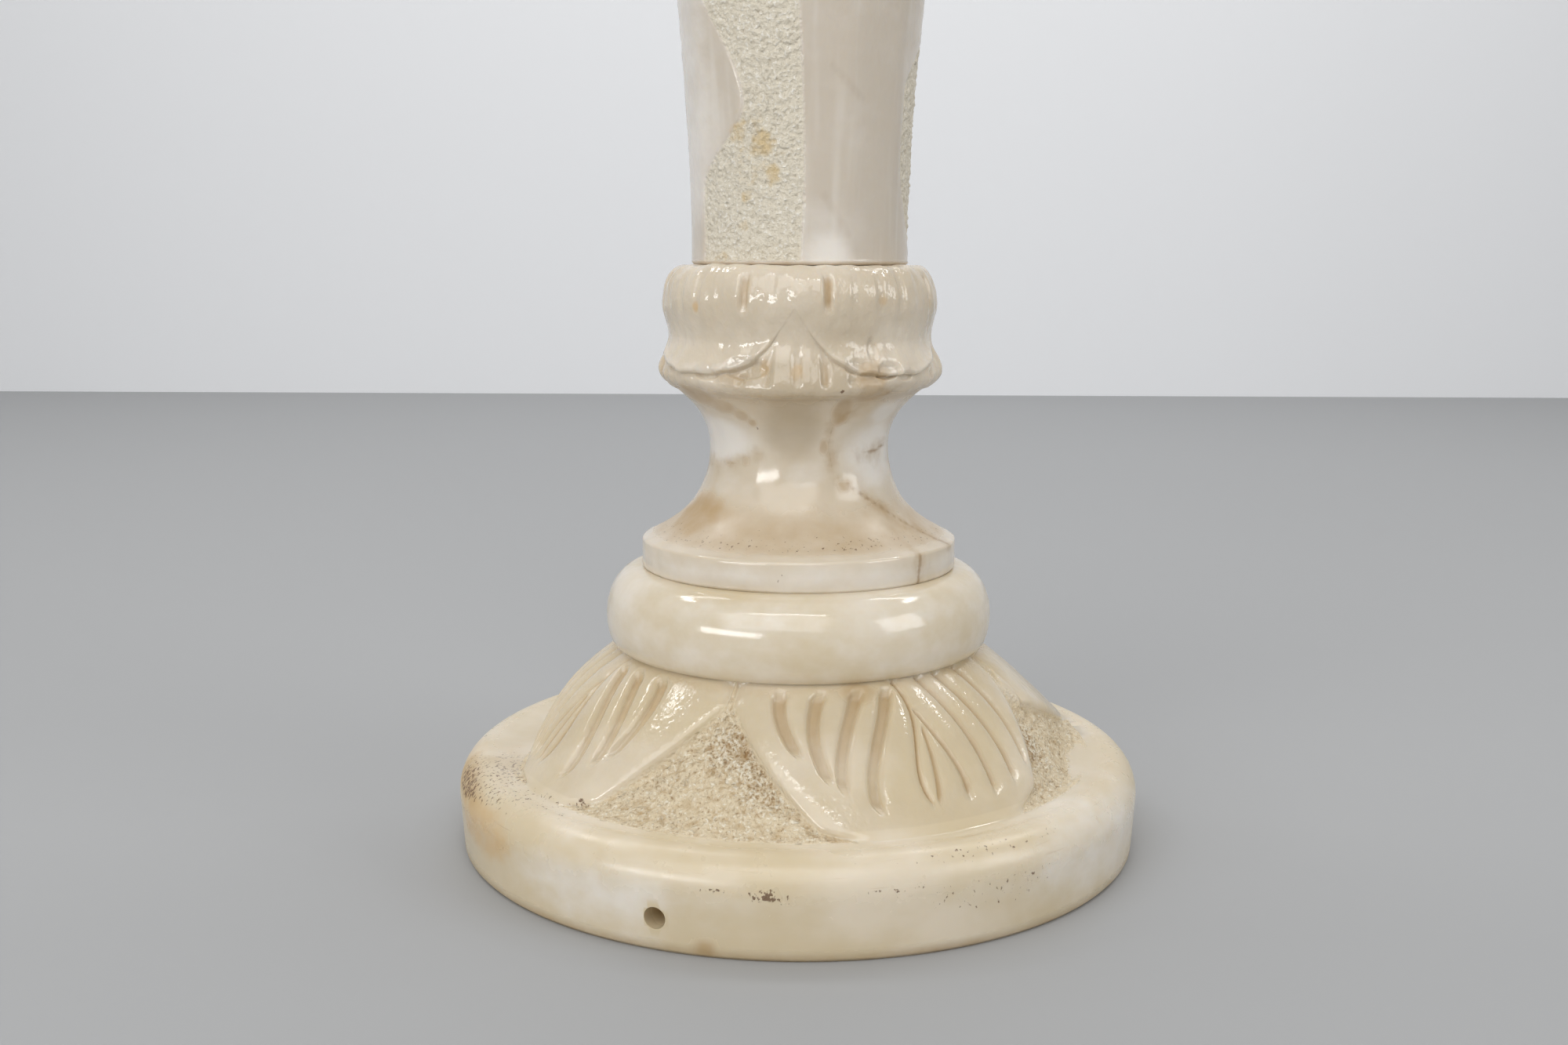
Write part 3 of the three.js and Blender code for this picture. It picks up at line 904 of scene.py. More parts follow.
    # Where more dirt has stayed in the creases of the ground
    dingy: tuple[Spot, ...] = patches(
        Layer.GROUND,
        (-14.0, 64.0, 10.0, 12.0, 0.25),
        (-6.0, 53.0, 8.0, 11.0, 0.2),
        (62.0, 55.0, 8.0, 14.0, 0.3),
        (166.0, 58.0, 12.0, 14.0, 0.3),
    )
    gouges: tuple[Mark, ...] = (
        Mark(-20.6, -25.5, -30.7, -31.3, 0.47, 0.97),
        Mark(-18.2, -22.0, -23.2, -19.5, 0.31, 0.97),
        Mark(-17.0, -17.8, -14.5, -8.9, 0.25, 0.97),
        Mark(-12.1, -10.8, -5.9, -0.3, 0.12, 0.97),
    )
    strips: tuple[Mark, ...] = (
        Mark(-2.0, -1.6, 1.7, 0.7, 0.12, depth=2.9, width=8.0),
        Mark(-0.4, 1.9, 3.2, 3.7, 0.12, 0.69, depth=2.5, width=7.0),
        Mark(6.2, 6.3, 3.5, 1.9, 0.14, 0.82),
        Mark(12.7, 13.9, 12.9, 9.3, 0.13),
        Mark(18.7, 20.8, 20.1, 16.8, 0.16),
        Mark(23.8, 27.6, 28.8, 26.6, 0.23),
    )
    spots: tuple[Spot, ...] = (
        *patches(
            Layer.STAIN,
            (-60.0, 24.0, 20.0, 17.0, 0.8),
            (-84.0, 30.0, 14.0, 14.0, 0.6),
        ),
        *patches(
            Layer.SPECKS,
            (-68.0, 36.0, 26.0, 8.0, 0.72),
            (-72.0, 33.0, 14.0, 8.0, 1.0),
            (-52.0, 39.0, 14.0, 3.0, 0.6),
            (-4.0, 26.5, 9.0, 3.2, 0.74),
            (-4.2, 26.0, 4.6, 4.8, 1.15, 0.15),
            (-12.0, 28.0, 6.0, 1.6, 0.85),
            (-42.0, 41.0, 4.0, 4.0, 0.8),
            (14.0, 27.0, 10.0, 3.0, 0.66),
            (30.0, 22.0, 24.0, 12.0, 0.55),
            (30.0, 36.0, 30.0, 4.0, 0.56),
        ),
        *patches(
            Layer.DIRT_AND_SHADE,
            (-74.0, 33.0, 18.0, 9.0, 0.66),
            (-13.0, 3.0, 3.0, 6.0, 0.7),
            (22.0, 1.0, 16.0, 5.0, 0.6),
            # Dirt with painted shade in a band just under the torus, and in a spot below it
            (0.0, 84.0, ALL_ROUND, 5.0, 0.3, 0.0),
            (17.0, 83.0, 9.0, 6.0, 0.55),
        ),
        *patches(
            Layer.MILK_AND_GLOW,
            (0.0, 103.0, ALL_ROUND, 22.0, 0.42, 0.6),
            (-30.0, 18.0, 28.0, 26.0, 0.6, 0.1),
            (55.0, 24.0, 30.0, 26.0, 0.6),
            (160.0, 20.0, 50.0, 26.0, 0.5),
        ),
    )
    side_rows: int = 7
    rim_rows: int = 10
    bell_rows: int = 72
    torus_rows: int = 12
    ground_columns: int = 50
    # Columns of a leaf: at an edge, up to its gouges, in a gouge, on a ridge between two, up to its
    # strips, down a strip's edge, and across each strip; and the least angle between two knots
    edge_columns: int = 5
    margin_columns: int = 10
    gouge_columns: int = 8
    ridge_columns: int = 5
    middle_columns: int = 7
    drop_columns: int = 2
    strip_columns: tuple[int, ...] = (5, 5, 9, 11, 11, 10)
    least_angle: float = 0.2

    def profile(self) -> tuple[Values, Values]:
        """Turned outline from the underside to the bed of the neck.

        Returns:
            The points as rows of radius and height, and for each the height up the bell from 0 to 1.
        """
        edge = self.rim - self.rim_inner
        rounding = self.rim_top - self.shoulder
        rim = np.concatenate(
            [
                [(self.underside - END_RING, 0.0), (self.underside, 0.0)],
                np.linspace((self.base, self.bevel), (self.rim, self.shoulder), self.side_rows)[:-1],
                quarter((self.rim_inner, self.shoulder), (edge, rounding), 0, 90, self.rim_rows),
            ]
        )
        bell = bezier(
            (self.bell, self.bell_base),
            self.low_pull,
            self.high_pull,
            (self.bell_neck, self.bell_top),
            self.bell_rows,
        )
        half = self.torus_rows // 2
        under = (self.torus - self.torus_root, self.torus_middle - self.torus_root_at)
        over = (self.torus - self.bed, self.top - self.torus_middle)
        torus = np.concatenate(
            [
                quarter((self.torus_root, self.torus_middle), under, -90, 0, half),
                quarter((self.bed, self.torus_middle), over, 0, 90, half + 1)[1:],
            ]
        )
        up = np.concatenate([np.zeros(len(rim)), np.linspace(0, 1, len(bell)), np.ones(len(torus))])
        return np.concatenate([rim, bell, torus]), up

    def ground(self, up: Values) -> Values:
        """Half angle of the ground: straight lines to the apex, then a slit."""
        return np.maximum(self.ground_slit, self.ground_half * (1.0 - up / self.ground_apex))

    def half(self, up: Values) -> Values:
        """Half angle of a leaf without hooks: its eighth of the turn less the ground."""
        return 180.0 / len(self.leaves) - self.ground(up)

    def sides(self, leaf: Leaf, up: Values) -> tuple[Values, Values]:
        """Half angles of a leaf on its gouged and its stripped side, less their hooks.

        Args:
            leaf: The leaf.
            up: Heights up the bell.

        Returns:
            The two half angles.
        """
        limit = 180.0 / len(self.leaves) - self.ground_slit
        gouged, stripped = (
            np.minimum(self.half(up) - sum(hook.back(up) for hook in hooks), limit)
            for hooks in (leaf.gouge_hooks, leaf.strip_hooks)
        )
        return gouged, stripped

    def mark_angle(self, leaf: Leaf, mark: Mark, up: Values) -> Values:
        """Angle of a mark from the leaf's middle; it closes in where the leaf is narrower.

        Args:
            leaf: The leaf.
            mark: The mark.
            up: Heights up the bell.

        Returns:
            The angle at each height.
        """
        left, right = self.sides(leaf, up)
        angle = mark.path((np.maximum(up, self.low) - self.low) / (1.0 - self.low))
        return angle * np.where(angle < 0.0, left, right) / self.half(np.maximum(up, self.low))

    def columns(self, leaf: Leaf, up: Values, radius: Values) -> Values:
        """Angles of the columns of one leaf and the ground beside it, at every height.

        Knots follow the leaf's edges, both sides of every gouge and the edge of every strip, and
        evenly spaced columns lie between each two. The columns nearest to the next leaf stop half a
        step short of the middle of the ground.

        Args:
            leaf: The leaf.
            up: Heights up the bell, one for each row.
            radius: Radii of the rows.

        Returns:
            Angles from the leaf's middle, as rows and columns.
        """
        to_angle = 1.0 / (np.radians(1.0) * radius)
        eighth = 180.0 / len(self.leaves)
        left, right = (np.minimum(side, eighth - self.fan) for side in self.sides(leaf, up))
        lip = self.ground_wall * to_angle
        knots = [-left - lip, -left + lip]
        counts = [self.edge_columns, self.margin_columns]
        for gouge in self.gouges:
            reach = self.gouge_half * to_angle * lerp(self.gouge_taper, 1.0, up)
            middle = self.mark_angle(leaf, gouge, up)
            knots += [middle - reach, middle + reach]
            counts += [self.gouge_columns, self.ridge_columns]
        counts[-1] = self.middle_columns
        for strip, count in zip(self.strips, self.strip_columns):
            edge = self.mark_angle(leaf, strip, up)
            knots += [edge, edge + self.strip_edge * to_angle]
            counts += [self.drop_columns, count]
        knots += [right - lip, right + lip]
        counts += [self.edge_columns]
        step = self.least_angle * np.arange(len(knots))[:, None]
        rising = np.maximum.accumulate(np.stack(knots) - step, axis=0) + step
        back = step - step[-1]
        falling = (np.minimum(rising, rising[-1:]) - back)[::-1]
        rising = np.minimum.accumulate(falling, axis=0)[::-1] + back
        outer = np.arange(self.ground_columns) / (self.ground_columns - 0.5)
        inner = [
            lerp(rising[k][:, None], rising[k + 1][:, None], np.arange(count) / count)
            for k, count in enumerate(counts)
        ]
        ground_left = lerp(rising[0][:, None], -eighth, outer[:0:-1])
        ground_right = lerp(rising[-1][:, None], eighth, outer)
        return np.concatenate([ground_left, *inner, ground_right], axis=1)

    def strength(self, mark: Mark, up: Values) -> Values:
        """How fully a mark is cut: it fades in above its end and out below its start."""
        started = smoothstep(up, mark.start - self.start_fade, mark.start)
        return smoothstep(up, mark.end, mark.end + self.fade) * (1.0 - started)

    def carving(
        self, leaf: Leaf, angle: Values, up: Values, radius: Values
    ) -> tuple[Values, Values, Values]:
        """Carving of one leaf and the ground beside it.

        A leaf rolls over at its edges. A gouge is flat in the middle and rises to its lips by a
        smoothstep. A strip drops at its edge, climbs back over its width by a quarter circle,
        and rounds over to the next one. The ground is sunk by a half sine from its bottom to its apex.

        Args:
            leaf: The leaf.
            angle: Angles from the leaf's middle.
            up: Heights up the bell.
            radius: Radii of the turned bell.

        Returns:
            Depth, share of rough ground, and share of dirt and painted shade, for each point.
        """
        to_length = np.radians(1.0) * radius
        left, right = self.sides(leaf, up)
        inside = np.minimum(angle + left, right - angle) * to_length
        depth = self.roll_depth * round_off(inside / self.roll_width)
        dirt_and_shade = np.zeros(angle.shape)
        for gouge in self.gouges[leaf.first_gouge :]:
            strength = self.strength(gouge, up)
            away = np.abs(angle - self.mark_angle(leaf, gouge, up)) * to_length
            reach = self.gouge_half * lerp(self.gouge_taper, 1.0, up) * lerp(self.gouge_tip, 1.0, strength)
            hollow = (1.0 - smoothstep(away, self.gouge_flat * reach, reach)) * strength
            ridge = self.ridge_depth * round_off((away - reach) / self.ridge_width) * strength
            depth = np.maximum(depth, self.gouge_depth * hollow + ridge)
            dirt_and_shade = np.maximum(dirt_and_shade, hollow * lerp(*self.gouge_dirt, smoothstep(up, *self.gouge_dirt_up)))
        for strip in self.strips[: leaf.strip_count]:
            strength = self.strength(strip, up)
            past = (angle - self.mark_angle(leaf, strip, up)) * to_length
            drop = smoothstep(past, 0.0, self.strip_edge)
            climb = round_off(past / strip.width)
            lip = self.lip_depth * (1.0 - drop) * round_off(-past / self.lip_width)
            depth = np.maximum(depth, (strip.depth * drop * climb + lip) * strength)
            # A dark line and a shade below the strip's edge: painted shade, with dirt
            line = 1.0 - smoothstep(past, *self.line_widths)
            shade = self.strip_shade_and_dirt * (1.0 - smoothstep(past, self.shade_start, strip.width / 2))
            dirt_and_shade = np.maximum(dirt_and_shade, drop * np.maximum(line, shade) * strength)
        climbed = np.minimum(up / self.ground_apex, 1.0)
        hollow = lerp(self.ground_shallow, 1 - self.ground_shallow, climbed)
        sunk = self.ground_depth * np.sin(np.pi * hollow)
        on_leaf = smoothstep(inside, -self.ground_wall / 2, self.ground_wall / 2)
        line = leaf.covered_from - self.cover_slope * (angle - right)
        cover = smoothstep(up, line, line + self.cover_edge) * (angle > 0.0)
        lift = smoothstep(up, 0.0, self.carving_start)
        rough = (1.0 - on_leaf) * (up < self.ground_apex + self.apex_margin) * (1.0 - cover)
        return lerp(sunk * (1.0 - cover), depth, on_leaf) * lift, rough, dirt_and_shade * on_leaf

    def build(self) -> bpy.types.Object:
        """Carves the turned outline leaf by leaf, every other leaf mirrored, and drills the hole.

        Returns:
            The piece.
        """
        outline, up = self.profile()
        radius = outline[:, :1]
        rows = up[:, None]
        bell = (rows > 0.0) & (rows < 1.0)
        angles = []
        carved: list[list[Values]] = [[], [], []]
        for number, leaf in enumerate(self.leaves):
            across = self.columns(leaf, up, np.where(up < 1.0, outline[:, 0], self.bell_neck))
            middle = self.leaf_angle + 360.0 * number / len(self.leaves)
            mirrored = number % 2 == 1
            angles.append(middle - across[:, ::-1] if mirrored else middle + across)
            for kept, values in zip(carved, self.carving(leaf, across, rows, radius)):
                kept.append(values[:, ::-1] if mirrored else values)
        depth, ground, dirt_and_shade = (np.concatenate(parts, axis=1) * bell for parts in carved)
        angle = np.concatenate(angles, axis=1)
        skin = Turning(angle, radius, outline[:, 1:])
        places = skin.points()
        for fall in self.falls:
            dip = fall.dip(angle, rows)
            depth = depth + ground * fall.depth * dip * smoothstep(rows, 0.0, self.carving_start)
            if fall.smooth:
                ground = ground * lerp(1.0, smoothstep(rows, *self.smooth_end), dip)
        relief, creases = punched(places, self.stipple_cell, self.stipple_seed)
        stipple = self.stipple_height * relief * smoothstep(rows, 0.0, self.stipple_start)
        wander = sum(each.depth(places) for each in self.wanders)
        free = np.where(bell, 1.0, self.rim_wander) * (rows < 1.0) * (skin.height > self.bevel)
        skin.cut(depth + ground * stipple + wander * free)
        start, end = (self.bell_base + above for above in self.ground_start)
        ground = ground * smoothstep(skin.height, start, end)
        skin.height = np.where(bell, np.maximum(skin.height, self.bell_base), skin.height)
        # The ground's creases take painted shade with dirt
        self.weather(skin, ground, np.maximum(dirt_and_shade, self.crease_dirt_and_shade * ground * creases))
        return self.drilled(skin.piece("carved_foot"))

    def weather(self, skin: Turning, ground: Values, dirt_and_shade: Values) -> None:
        """Lays ground, dirt with painted shade, stains and specks on the foot, and darkens the rim's side
        towards the bottom.

        Args:
            skin: Its surface.
            ground: Share of rough ground.
            dirt_and_shade: Share of dirt, and of painted shade, in the carving and the ground's creases.
        """
        dingy = sum(spot.weight(skin.angle, skin.height) for spot in self.dingy)
        skin.lay(Layer.GROUND, ground * (1.0 + dingy))
        below_torus = skin.height < self.torus_root_at
        ripples = self.bell_ripples * smoothstep(skin.height, *self.ripple_heights)
        skin.lay(Layer.CARVED, np.where(below_torus, ripples, self.torus_ripples))
        skin.lay(Layer.DIRT_AND_SHADE, dirt_and_shade)
        skin.lay(Layer.SPECKS, self.specks)
        bell = (skin.height > self.rim_top + self.clear_above) & below_torus
        skin.lay(Layer.CLEAR, self.clear * bell * (1.0 - ground))
        wear = lerp(self.side_wear, 1.0, smoothstep(skin.height, *self.wear_heights))
        skin.lay(Layer.WORN, wear * (skin.radius > self.rim_inner - self.wear_inside))
        # The rim's side is darker towards the bottom
        low_edge = self.low_edge_darkening * (1.0 - smoothstep(skin.height, *self.low_edge_darkening_heights))
        skin.lay(Layer.DIRT_AND_SHADE, low_edge * (skin.radius > self.rim_inner))
        skin.paint(self.spots)

    def drilled(self, piece: bpy.types.Object) -> bpy.types.Object:
        """Drills the blind hole into the rim.

        The drill is a cylinder square to the axis: its points are (R cos t, depth, R sin t) turned
        to the hole's angle.

        Args:
            piece: The foot.

        Returns:
            The same piece with the hole.
        """
        sides = self.drill_sides
        turn = np.radians(np.arange(sides) * 360.0 / sides)
        end = self.rim - self.hole_depth
        reach = np.array([end, end + self.hole_point, self.rim + self.drill_past])[:, None]
        size = np.array([self.hole_point_width, 1.0, 1.0])[:, None] * self.hole_radius
        local = np.stack(
            [
                size * np.cos(turn),
                np.broadcast_to(-reach, (len(reach), sides)),
                self.hole_height + size * np.sin(turn),
            ],
            axis=-1,
        )
        heading = np.radians(self.hole_angle)
        spin = np.array([[np.cos(heading), -np.sin(heading)], [np.sin(heading), np.cos(heading)]])
        local[..., :2] = local[..., :2] @ spin.T
        at = np.arange(len(reach) * sides).reshape(len(reach), sides)
        after = np.roll(at, -1, axis=1)
        walls = np.stack([at[:-1], after[:-1], after[1:], at[1:]], axis=-1).reshape(-1, 4)
        ends = [at[0][::-1].tolist(), at[-1].tolist()]
        drill = add_mesh("drill", local.reshape(-1, 3) * MM, [*walls.tolist(), *ends])
        bore = piece.modifiers.new("hole", "BOOLEAN")
        bore.operation = "DIFFERENCE"
        bore.solver = "EXACT"
        bore.object = drill
        drilled = piece.evaluated_get(bpy.context.evaluated_depsgraph_get())
        solid = bpy.data.meshes.new_from_object(drilled)
        solid.set_sharp_from_angle(angle=math.radians(self.crisp))
        piece.modifiers.clear()
        piece.data = solid
        bpy.data.objects.remove(drill)
        return piece

    def dress(self, piece: bpy.types.Object) -> None:
        """Gives the foot its warm cream stone.

        Args:
            piece: The foot.
        """
        coats = (
            CLOUDS,
            CLEAR_STONE,
            MILKY_AND_GLOW,
            BEIGE_GROUND,
            PAINTED_HIGHLIGHT_GRAINS,
            TAN_CLUMPS,
            OCHRE_CLOUD,
            WORN_LINES,
            DIRTY_AND_SHADED,
            BROWN_PITS_AND_SHADE,
            GRIME,
            SPECKLED,
        )
        piece.data.materials.clear()
        piece.data.materials.append(Alabaster("warm_cream_alabaster", "d4c4a4", coats).material())


@dataclass(frozen=True)
class Chip:
    """Flat oval chip broken out of a collar, with a steep wall round it."""

    angle: float
    distance: float
    half_angle: float
    half_length: float
    depth: float

    def cut(self, angle: Values, distance: Values) -> Values:
        """Depth of the chip: even inside, falling to nothing at the oval's edge by a smoothstep.

        Args:
            angle: Angles of the points.
            distance: Distances of the points from the shaft.

        Returns:
            The depth at each point.
        """
        across = turned(angle - self.angle) / self.half_angle
        along = (distance - self.distance) / self.half_length
        return self.depth * (1.0 - smoothstep(np.hypot(across, along), CHIP_FLAT, 1.0))


@dataclass
class Spool:
    """Waisted piece with a leaf collar against the shaft and a flat ring at its far end.

    Places are distances from the shaft, downwards for the neck and upwards for the capital.
    """

    name: str = "leaf_collar_neck"
    bed: float = 252.0
    length: float = 131.0
    upwards: bool = False
    fluted: bool = True
    waist: float = 39.2
    waist_at: float = 78.0
    ring: float = 69.3
    ring_at: float = 118.0
    # Pulls of the hollow's curves at neck, waist and ring, as shares of its depth and lengths
    neck_pull: tuple[float, float] = (0.63, 0.29)
    waist_pulls: tuple[float, float] = (0.42, 0.55)
    ring_pull: tuple[float, float] = (0.55, 0.17)
    collar_bed: float = 50.0
    collar_shoulder: float = 59.6
    shoulder_at: float = 15.0
    collar_waist: float = 57.0
    collar_waist_at: float = 30.5
    lip: float = 62.2
    lip_at: float = 44.0
    collar_foot: float = 54.0
    foot_at: float = 52.5
    under_power: float = 2.4
    # The leaves' relief runs out from this far before the lip
    round_from: float = 3.0
    neck: float = 52.3
    neck_at: float = 54.0
    edge: float = 1.2
    # Share of the ring's edge that its rounding leaves in the middle
    edge_round: float = 0.3
    leaf_count: int = 4
    tip_angle: float = 43.0
    tip_at: float = 44.0
    meet_at: float = 17.5
    leaf_power: float = 2.9
    leaf_step: float = 2.4
    # The leaves stand out least at a V, and fully where their edge is past these distances
    least_rise: float = 0.05
    rise_between: tuple[float, float] = (24.0, 42.0)
    # The leaves' edge is cut by hand: how far it and its rise stray, and over which length
    stray: float = 1.2
    rise_stray: float = 0.35
    stray_cell: float = 7.0
    edge_seed: int = 14
    rise_seed: int = 15
    leaf_wall: float = 1.0
    # Bead along the edge: height, distance from the edge, and half width
    bead: float = 0.45
    bead_at: float = 1.3
    bead_half: float = 1.1
    flutes: int = 32
    flute_half: float = 2.9
    flute_flat: float = 0.25
    flute_depth: float = 1.7
    lower_depth: float = 1.5
    lower_shift: float = -1.0
    # Distances between which the upper and the lower flutes start and end; the lower ones start
    # below the leaves' edge too, and none of them is cut less than this share
    upper_start: tuple[float, float] = (1.0, 7.0)
    upper_end: tuple[float, float] = (14.0, 21.0)
    lower_start: tuple[float, float] = (29.0, 37.0)
    lower_end: tuple[float, float] = (46.0, 50.0)
    lower_below: tuple[float, float] = (0.5, 6.0)
    lower_least: float = 0.5
    # How deep each of the flutes of one leaf is cut, from the front to the right
    flute_cuts: tuple[float, ...] = (0.1, 1.0, 0.22, 0.35, 0.4, 0.22, 0.95, 0.28)
    # In front and at the back the lower leaf's face reaches further down: distance and half angle
    apron: float = 4.5
    apron_half: float = 34.0
    chips: tuple[Chip, ...] = (
        Chip(-22.0, 41.0, 10.0, 4.6, 1.6),
        Chip(-40.0, 44.0, 6.5, 3.4, 1.2),
        Chip(37.0, 42.5, 6.0, 4.2, 1.7),
        Chip(23.0, 40.0, 5.5, 2.8, 1.0),
        Chip(31.0, 34.0, 2.4, 5.0, 0.8),
        Chip(47.0, 45.0, 4.0, 3.0, 1.0),
        Chip(138.0, 42.0, 6.0, 4.5, 1.1),
        Chip(-131.0, 40.0, 5.0, 5.0, 1.0),
    )
    # Facets of the knife, some of them drawn upright, and their share off the collar
    facets: tuple[Wander, ...] = (Wander(0.3, 6.0, 13), Wander(0.5, 15.0, 12))
    upright_facets: Wander = Wander(0.45, 5.0, 11)
    upright: float = 0.3
    plain_facets: float = 0.3
    plain_ripples: float = 0.1
    # Dirt in the flutes, of the upper ones in the deepest only, and dirt with painted shade in the crease
    # below the leaves
    upper_dirt: float = 0.8
    dirt_power: int = 4
    lower_dirt: float = 0.48
    crease_dirt_and_shade: float = 0.4
    crease_widths: tuple[float, float] = (0.3, 4.0)
    # Painted glow along the leaves' thin edge, standing in for light through the stone: how much, distance
    # from the edge, and half width
    painted_edge_glow: float = 0.34
    thin_at: float = 1.8
    thin_half: float = 2.4
    specks: float = 0.03
    # Film of dirt on the neck's foot: strength, heights where it starts and ends, and its specks end
    film: float = 0.5
    film_start: tuple[float, float] = (134.0, 137.0)
    film_end: tuple[float, float] = (142.0, 164.0)
    film_specks_end: tuple[float, float] = (138.0, 150.0)
    spots: tuple[Spot, ...] = (
        *patches(
            Layer.MILK_AND_GLOW,
            (0.0, 126.5, ALL_ROUND, 9.0, 0.5),
            (-60.0, 179.0, 42.0, 15.0, 1.0, 0.3),
            (4.0, 166.0, 22.0, 9.0, 0.4),
            (-42.0, 160.0, 26.0, 8.0, 0.4),
            (54.0, 173.0, 40.0, 22.0, 0.95, 0.3),
            (52.0, 191.0, 18.0, 9.0, 0.75),
            (-120.0, 174.0, 26.0, 14.0, 0.7),
            (150.0, 170.0, 40.0, 16.0, 0.7),
        ),
        *patches(
            Layer.DIRT_AND_SHADE,
            # Painted shade, with dirt, all round just under the collar
            (0.0, 198.0, ALL_ROUND, 7.0, 0.4, 0.0),
            (-54.0, 198.0, 24.0, 8.0, 0.6),
            (-42.0, 194.0, 14.0, 6.0, 0.55),
            (-33.0, 190.0, 8.0, 4.5, 0.5),
            (-27.0, 187.0, 5.0, 3.0, 0.5),
            (22.0, 193.0, 9.0, 10.0, 0.65),
            (32.0, 200.0, 14.0, 7.0, 0.6),
            (30.0, 207.0, 12.0, 12.0, 0.6),
            (15.0, 177.0, 5.0, 6.0, 0.5),
            (28.0, 161.0, 8.0, 4.0, 0.5),
            (-28.0, 207.0, 12.0, 7.0, 0.45),
            (-62.0, 146.0, 36.0, 14.0, 0.72),
            (-50.0, 168.0, 8.0, 2.5, 0.45),
            (-34.0, 170.0, 6.0, 3.5, 0.45),
        ),
        *patches(
            Layer.CLEAR,
            (-4.0, 184.0, 28.0, 20.0, 0.85, 0.3),
            (0.0, 207.0, 50.0, 12.0, 0.8, 0.4),
            (20.0, 222.0, 26.0, 10.0, 0.5),
        ),
        *patches(
            Layer.STAIN,
            (-62.0, 147.0, 46.0, 18.0, 0.5, 0.2),
            (-14.0, 211.0, 4.0, 6.0, 0.6),
            (-1.0, 210.0, 4.0, 6.0, 0.6),
            (-46.0, 235.0, 3.0, 4.0, 0.8),
            (35.0, 238.0, 4.0, 4.0, 0.6),
        ),
        *patches(
            Layer.SPECKS,
            (-25.0, 185.0, 2.0, 1.5, 1.0),
            (16.5, 202.0, 2.0, 1.5, 0.9),
            (-6.0, 127.0, 2.0, 1.5, 0.8),
        ),
    )
    veins: tuple[Vein, ...] = (
        Vein(
            ((-88.0, 165.0), (-66.0, 167.0), (-45.0, 169.0), (-33.0, 170.0), (-26.0, 173.0)),
            0.95,
        ),
        Vein(
            ((44.0, 203.0), (33.0, 195.0), (20.0, 188.0), (18.0, 178.0), (21.0, 166.0), (30.0, 161.0)),
            0.95,
        ),
        Vein(((30.0, 161.0), (45.0, 153.0), (52.0, 149.0), (63.0, 141.0), (70.0, 134.0))),
        Vein(((42.0, 173.0), (56.0, 174.0), (68.0, 176.0))),
        Vein(((46.0, 122.0), (47.0, 133.0))),
        Vein(((170.0, 198.0), (160.0, 180.0), (172.0, 166.0), (190.0, 150.0))),
    )
    around: int = 640
    # The first row of the collar, and how the rows spread out from the shaft
    first_row: float = 0.004
    row_power: float = 1.4
    upper_rows: int = 46
    wall_rows: int = 4
    lower_rows: int = 26
    hollow_rows: int = 44

    def collar_radius(self, distance: Values) -> Values:
        """Radius of the turned collar: round shoulder, slight waist, flared lip, sloping underside.

        The shoulder is a quarter ellipse, the waist and the lip are smoothsteps, and the underside is a
        power curve.

        Args:
            distance: Distances from the shaft.

        Returns:
            The radii.
        """
        shoulder = 1.0 - np.clip(distance / self.shoulder_at, 0.0, 1.0)
        under = np.clip((distance - self.lip_at) / (self.foot_at - self.lip_at), 0.0, 1.0)
        return np.select(
            [distance < self.shoulder_at, distance < self.collar_waist_at, distance < self.lip_at],
            [
                lerp(self.collar_bed, self.collar_shoulder, np.sqrt(1.0 - shoulder**2)),
                lerp(
                    self.collar_shoulder,
                    self.collar_waist,
                    smoothstep(distance, self.shoulder_at, self.collar_waist_at),
                ),
                lerp(
                    self.collar_waist,
                    self.lip,
                    smoothstep(distance, self.collar_waist_at, self.lip_at),
                ),
            ],
            lerp(self.lip, self.collar_foot, under**self.under_power),
        )

    def apron_shift(self, angle: Values, distance: Values) -> Values:
        """How far the lip stands lower: a bell curve around front and back, eased in below the waist.

        Args:
            angle: Angles of the points.
            distance: Distances from the shaft.

        Returns:
            The shift of each point.
        """
        beside = (angle + 90.0) % 180.0 - 90.0
        eased = smoothstep(distance, self.collar_waist_at, self.lip_at + self.apron)
        return self.apron * np.exp(-((beside / self.apron_half) ** 2)) * eased

    def uneven(self, angle: Values, seed: int) -> Values:
        """Noise round the collar, the same at every height.

        Args:
            angle: Angles of the columns.
            seed: Picks one of many patterns.

        Returns:
            Values between -1 and 1.
        """
        turn = np.radians(angle)
        rim = self.collar_waist * np.stack([np.sin(turn), np.cos(turn), 0.0 * turn], axis=-1)
        return noise(rim, self.stray_cell, seed)

    def leaf_edge(self, angle: Values) -> Values:
        """Distance of the broad leaves' lower edge: a power curve from each tip up to the next V.

        Args:
            angle: Angles of the columns.

        Returns:
            The distances from the shaft, which stray a little.
        """
        half = 180.0 / self.leaf_count
        from_tip = np.abs((angle - self.tip_angle + half) % (2.0 * half) - half)
        edge = lerp(self.tip_at, self.meet_at, (from_tip / half) ** self.leaf_power)
        return edge + self.stray * self.uneven(angle, self.edge_seed)

    def leaf_rise(self, angle: Values) -> Values:
        """How far the broad leaves stand out, unevenly: hardly at a V, fully near the tips.

        Args:
            angle: Angles of the columns.

        Returns:
            Shares of the whole step.
        """
        rise = lerp(self.least_rise, 1.0, smoothstep(self.leaf_edge(angle), *self.rise_between))
        return (1.0 + self.rise_stray * self.uneven(angle, self.rise_seed)) * rise

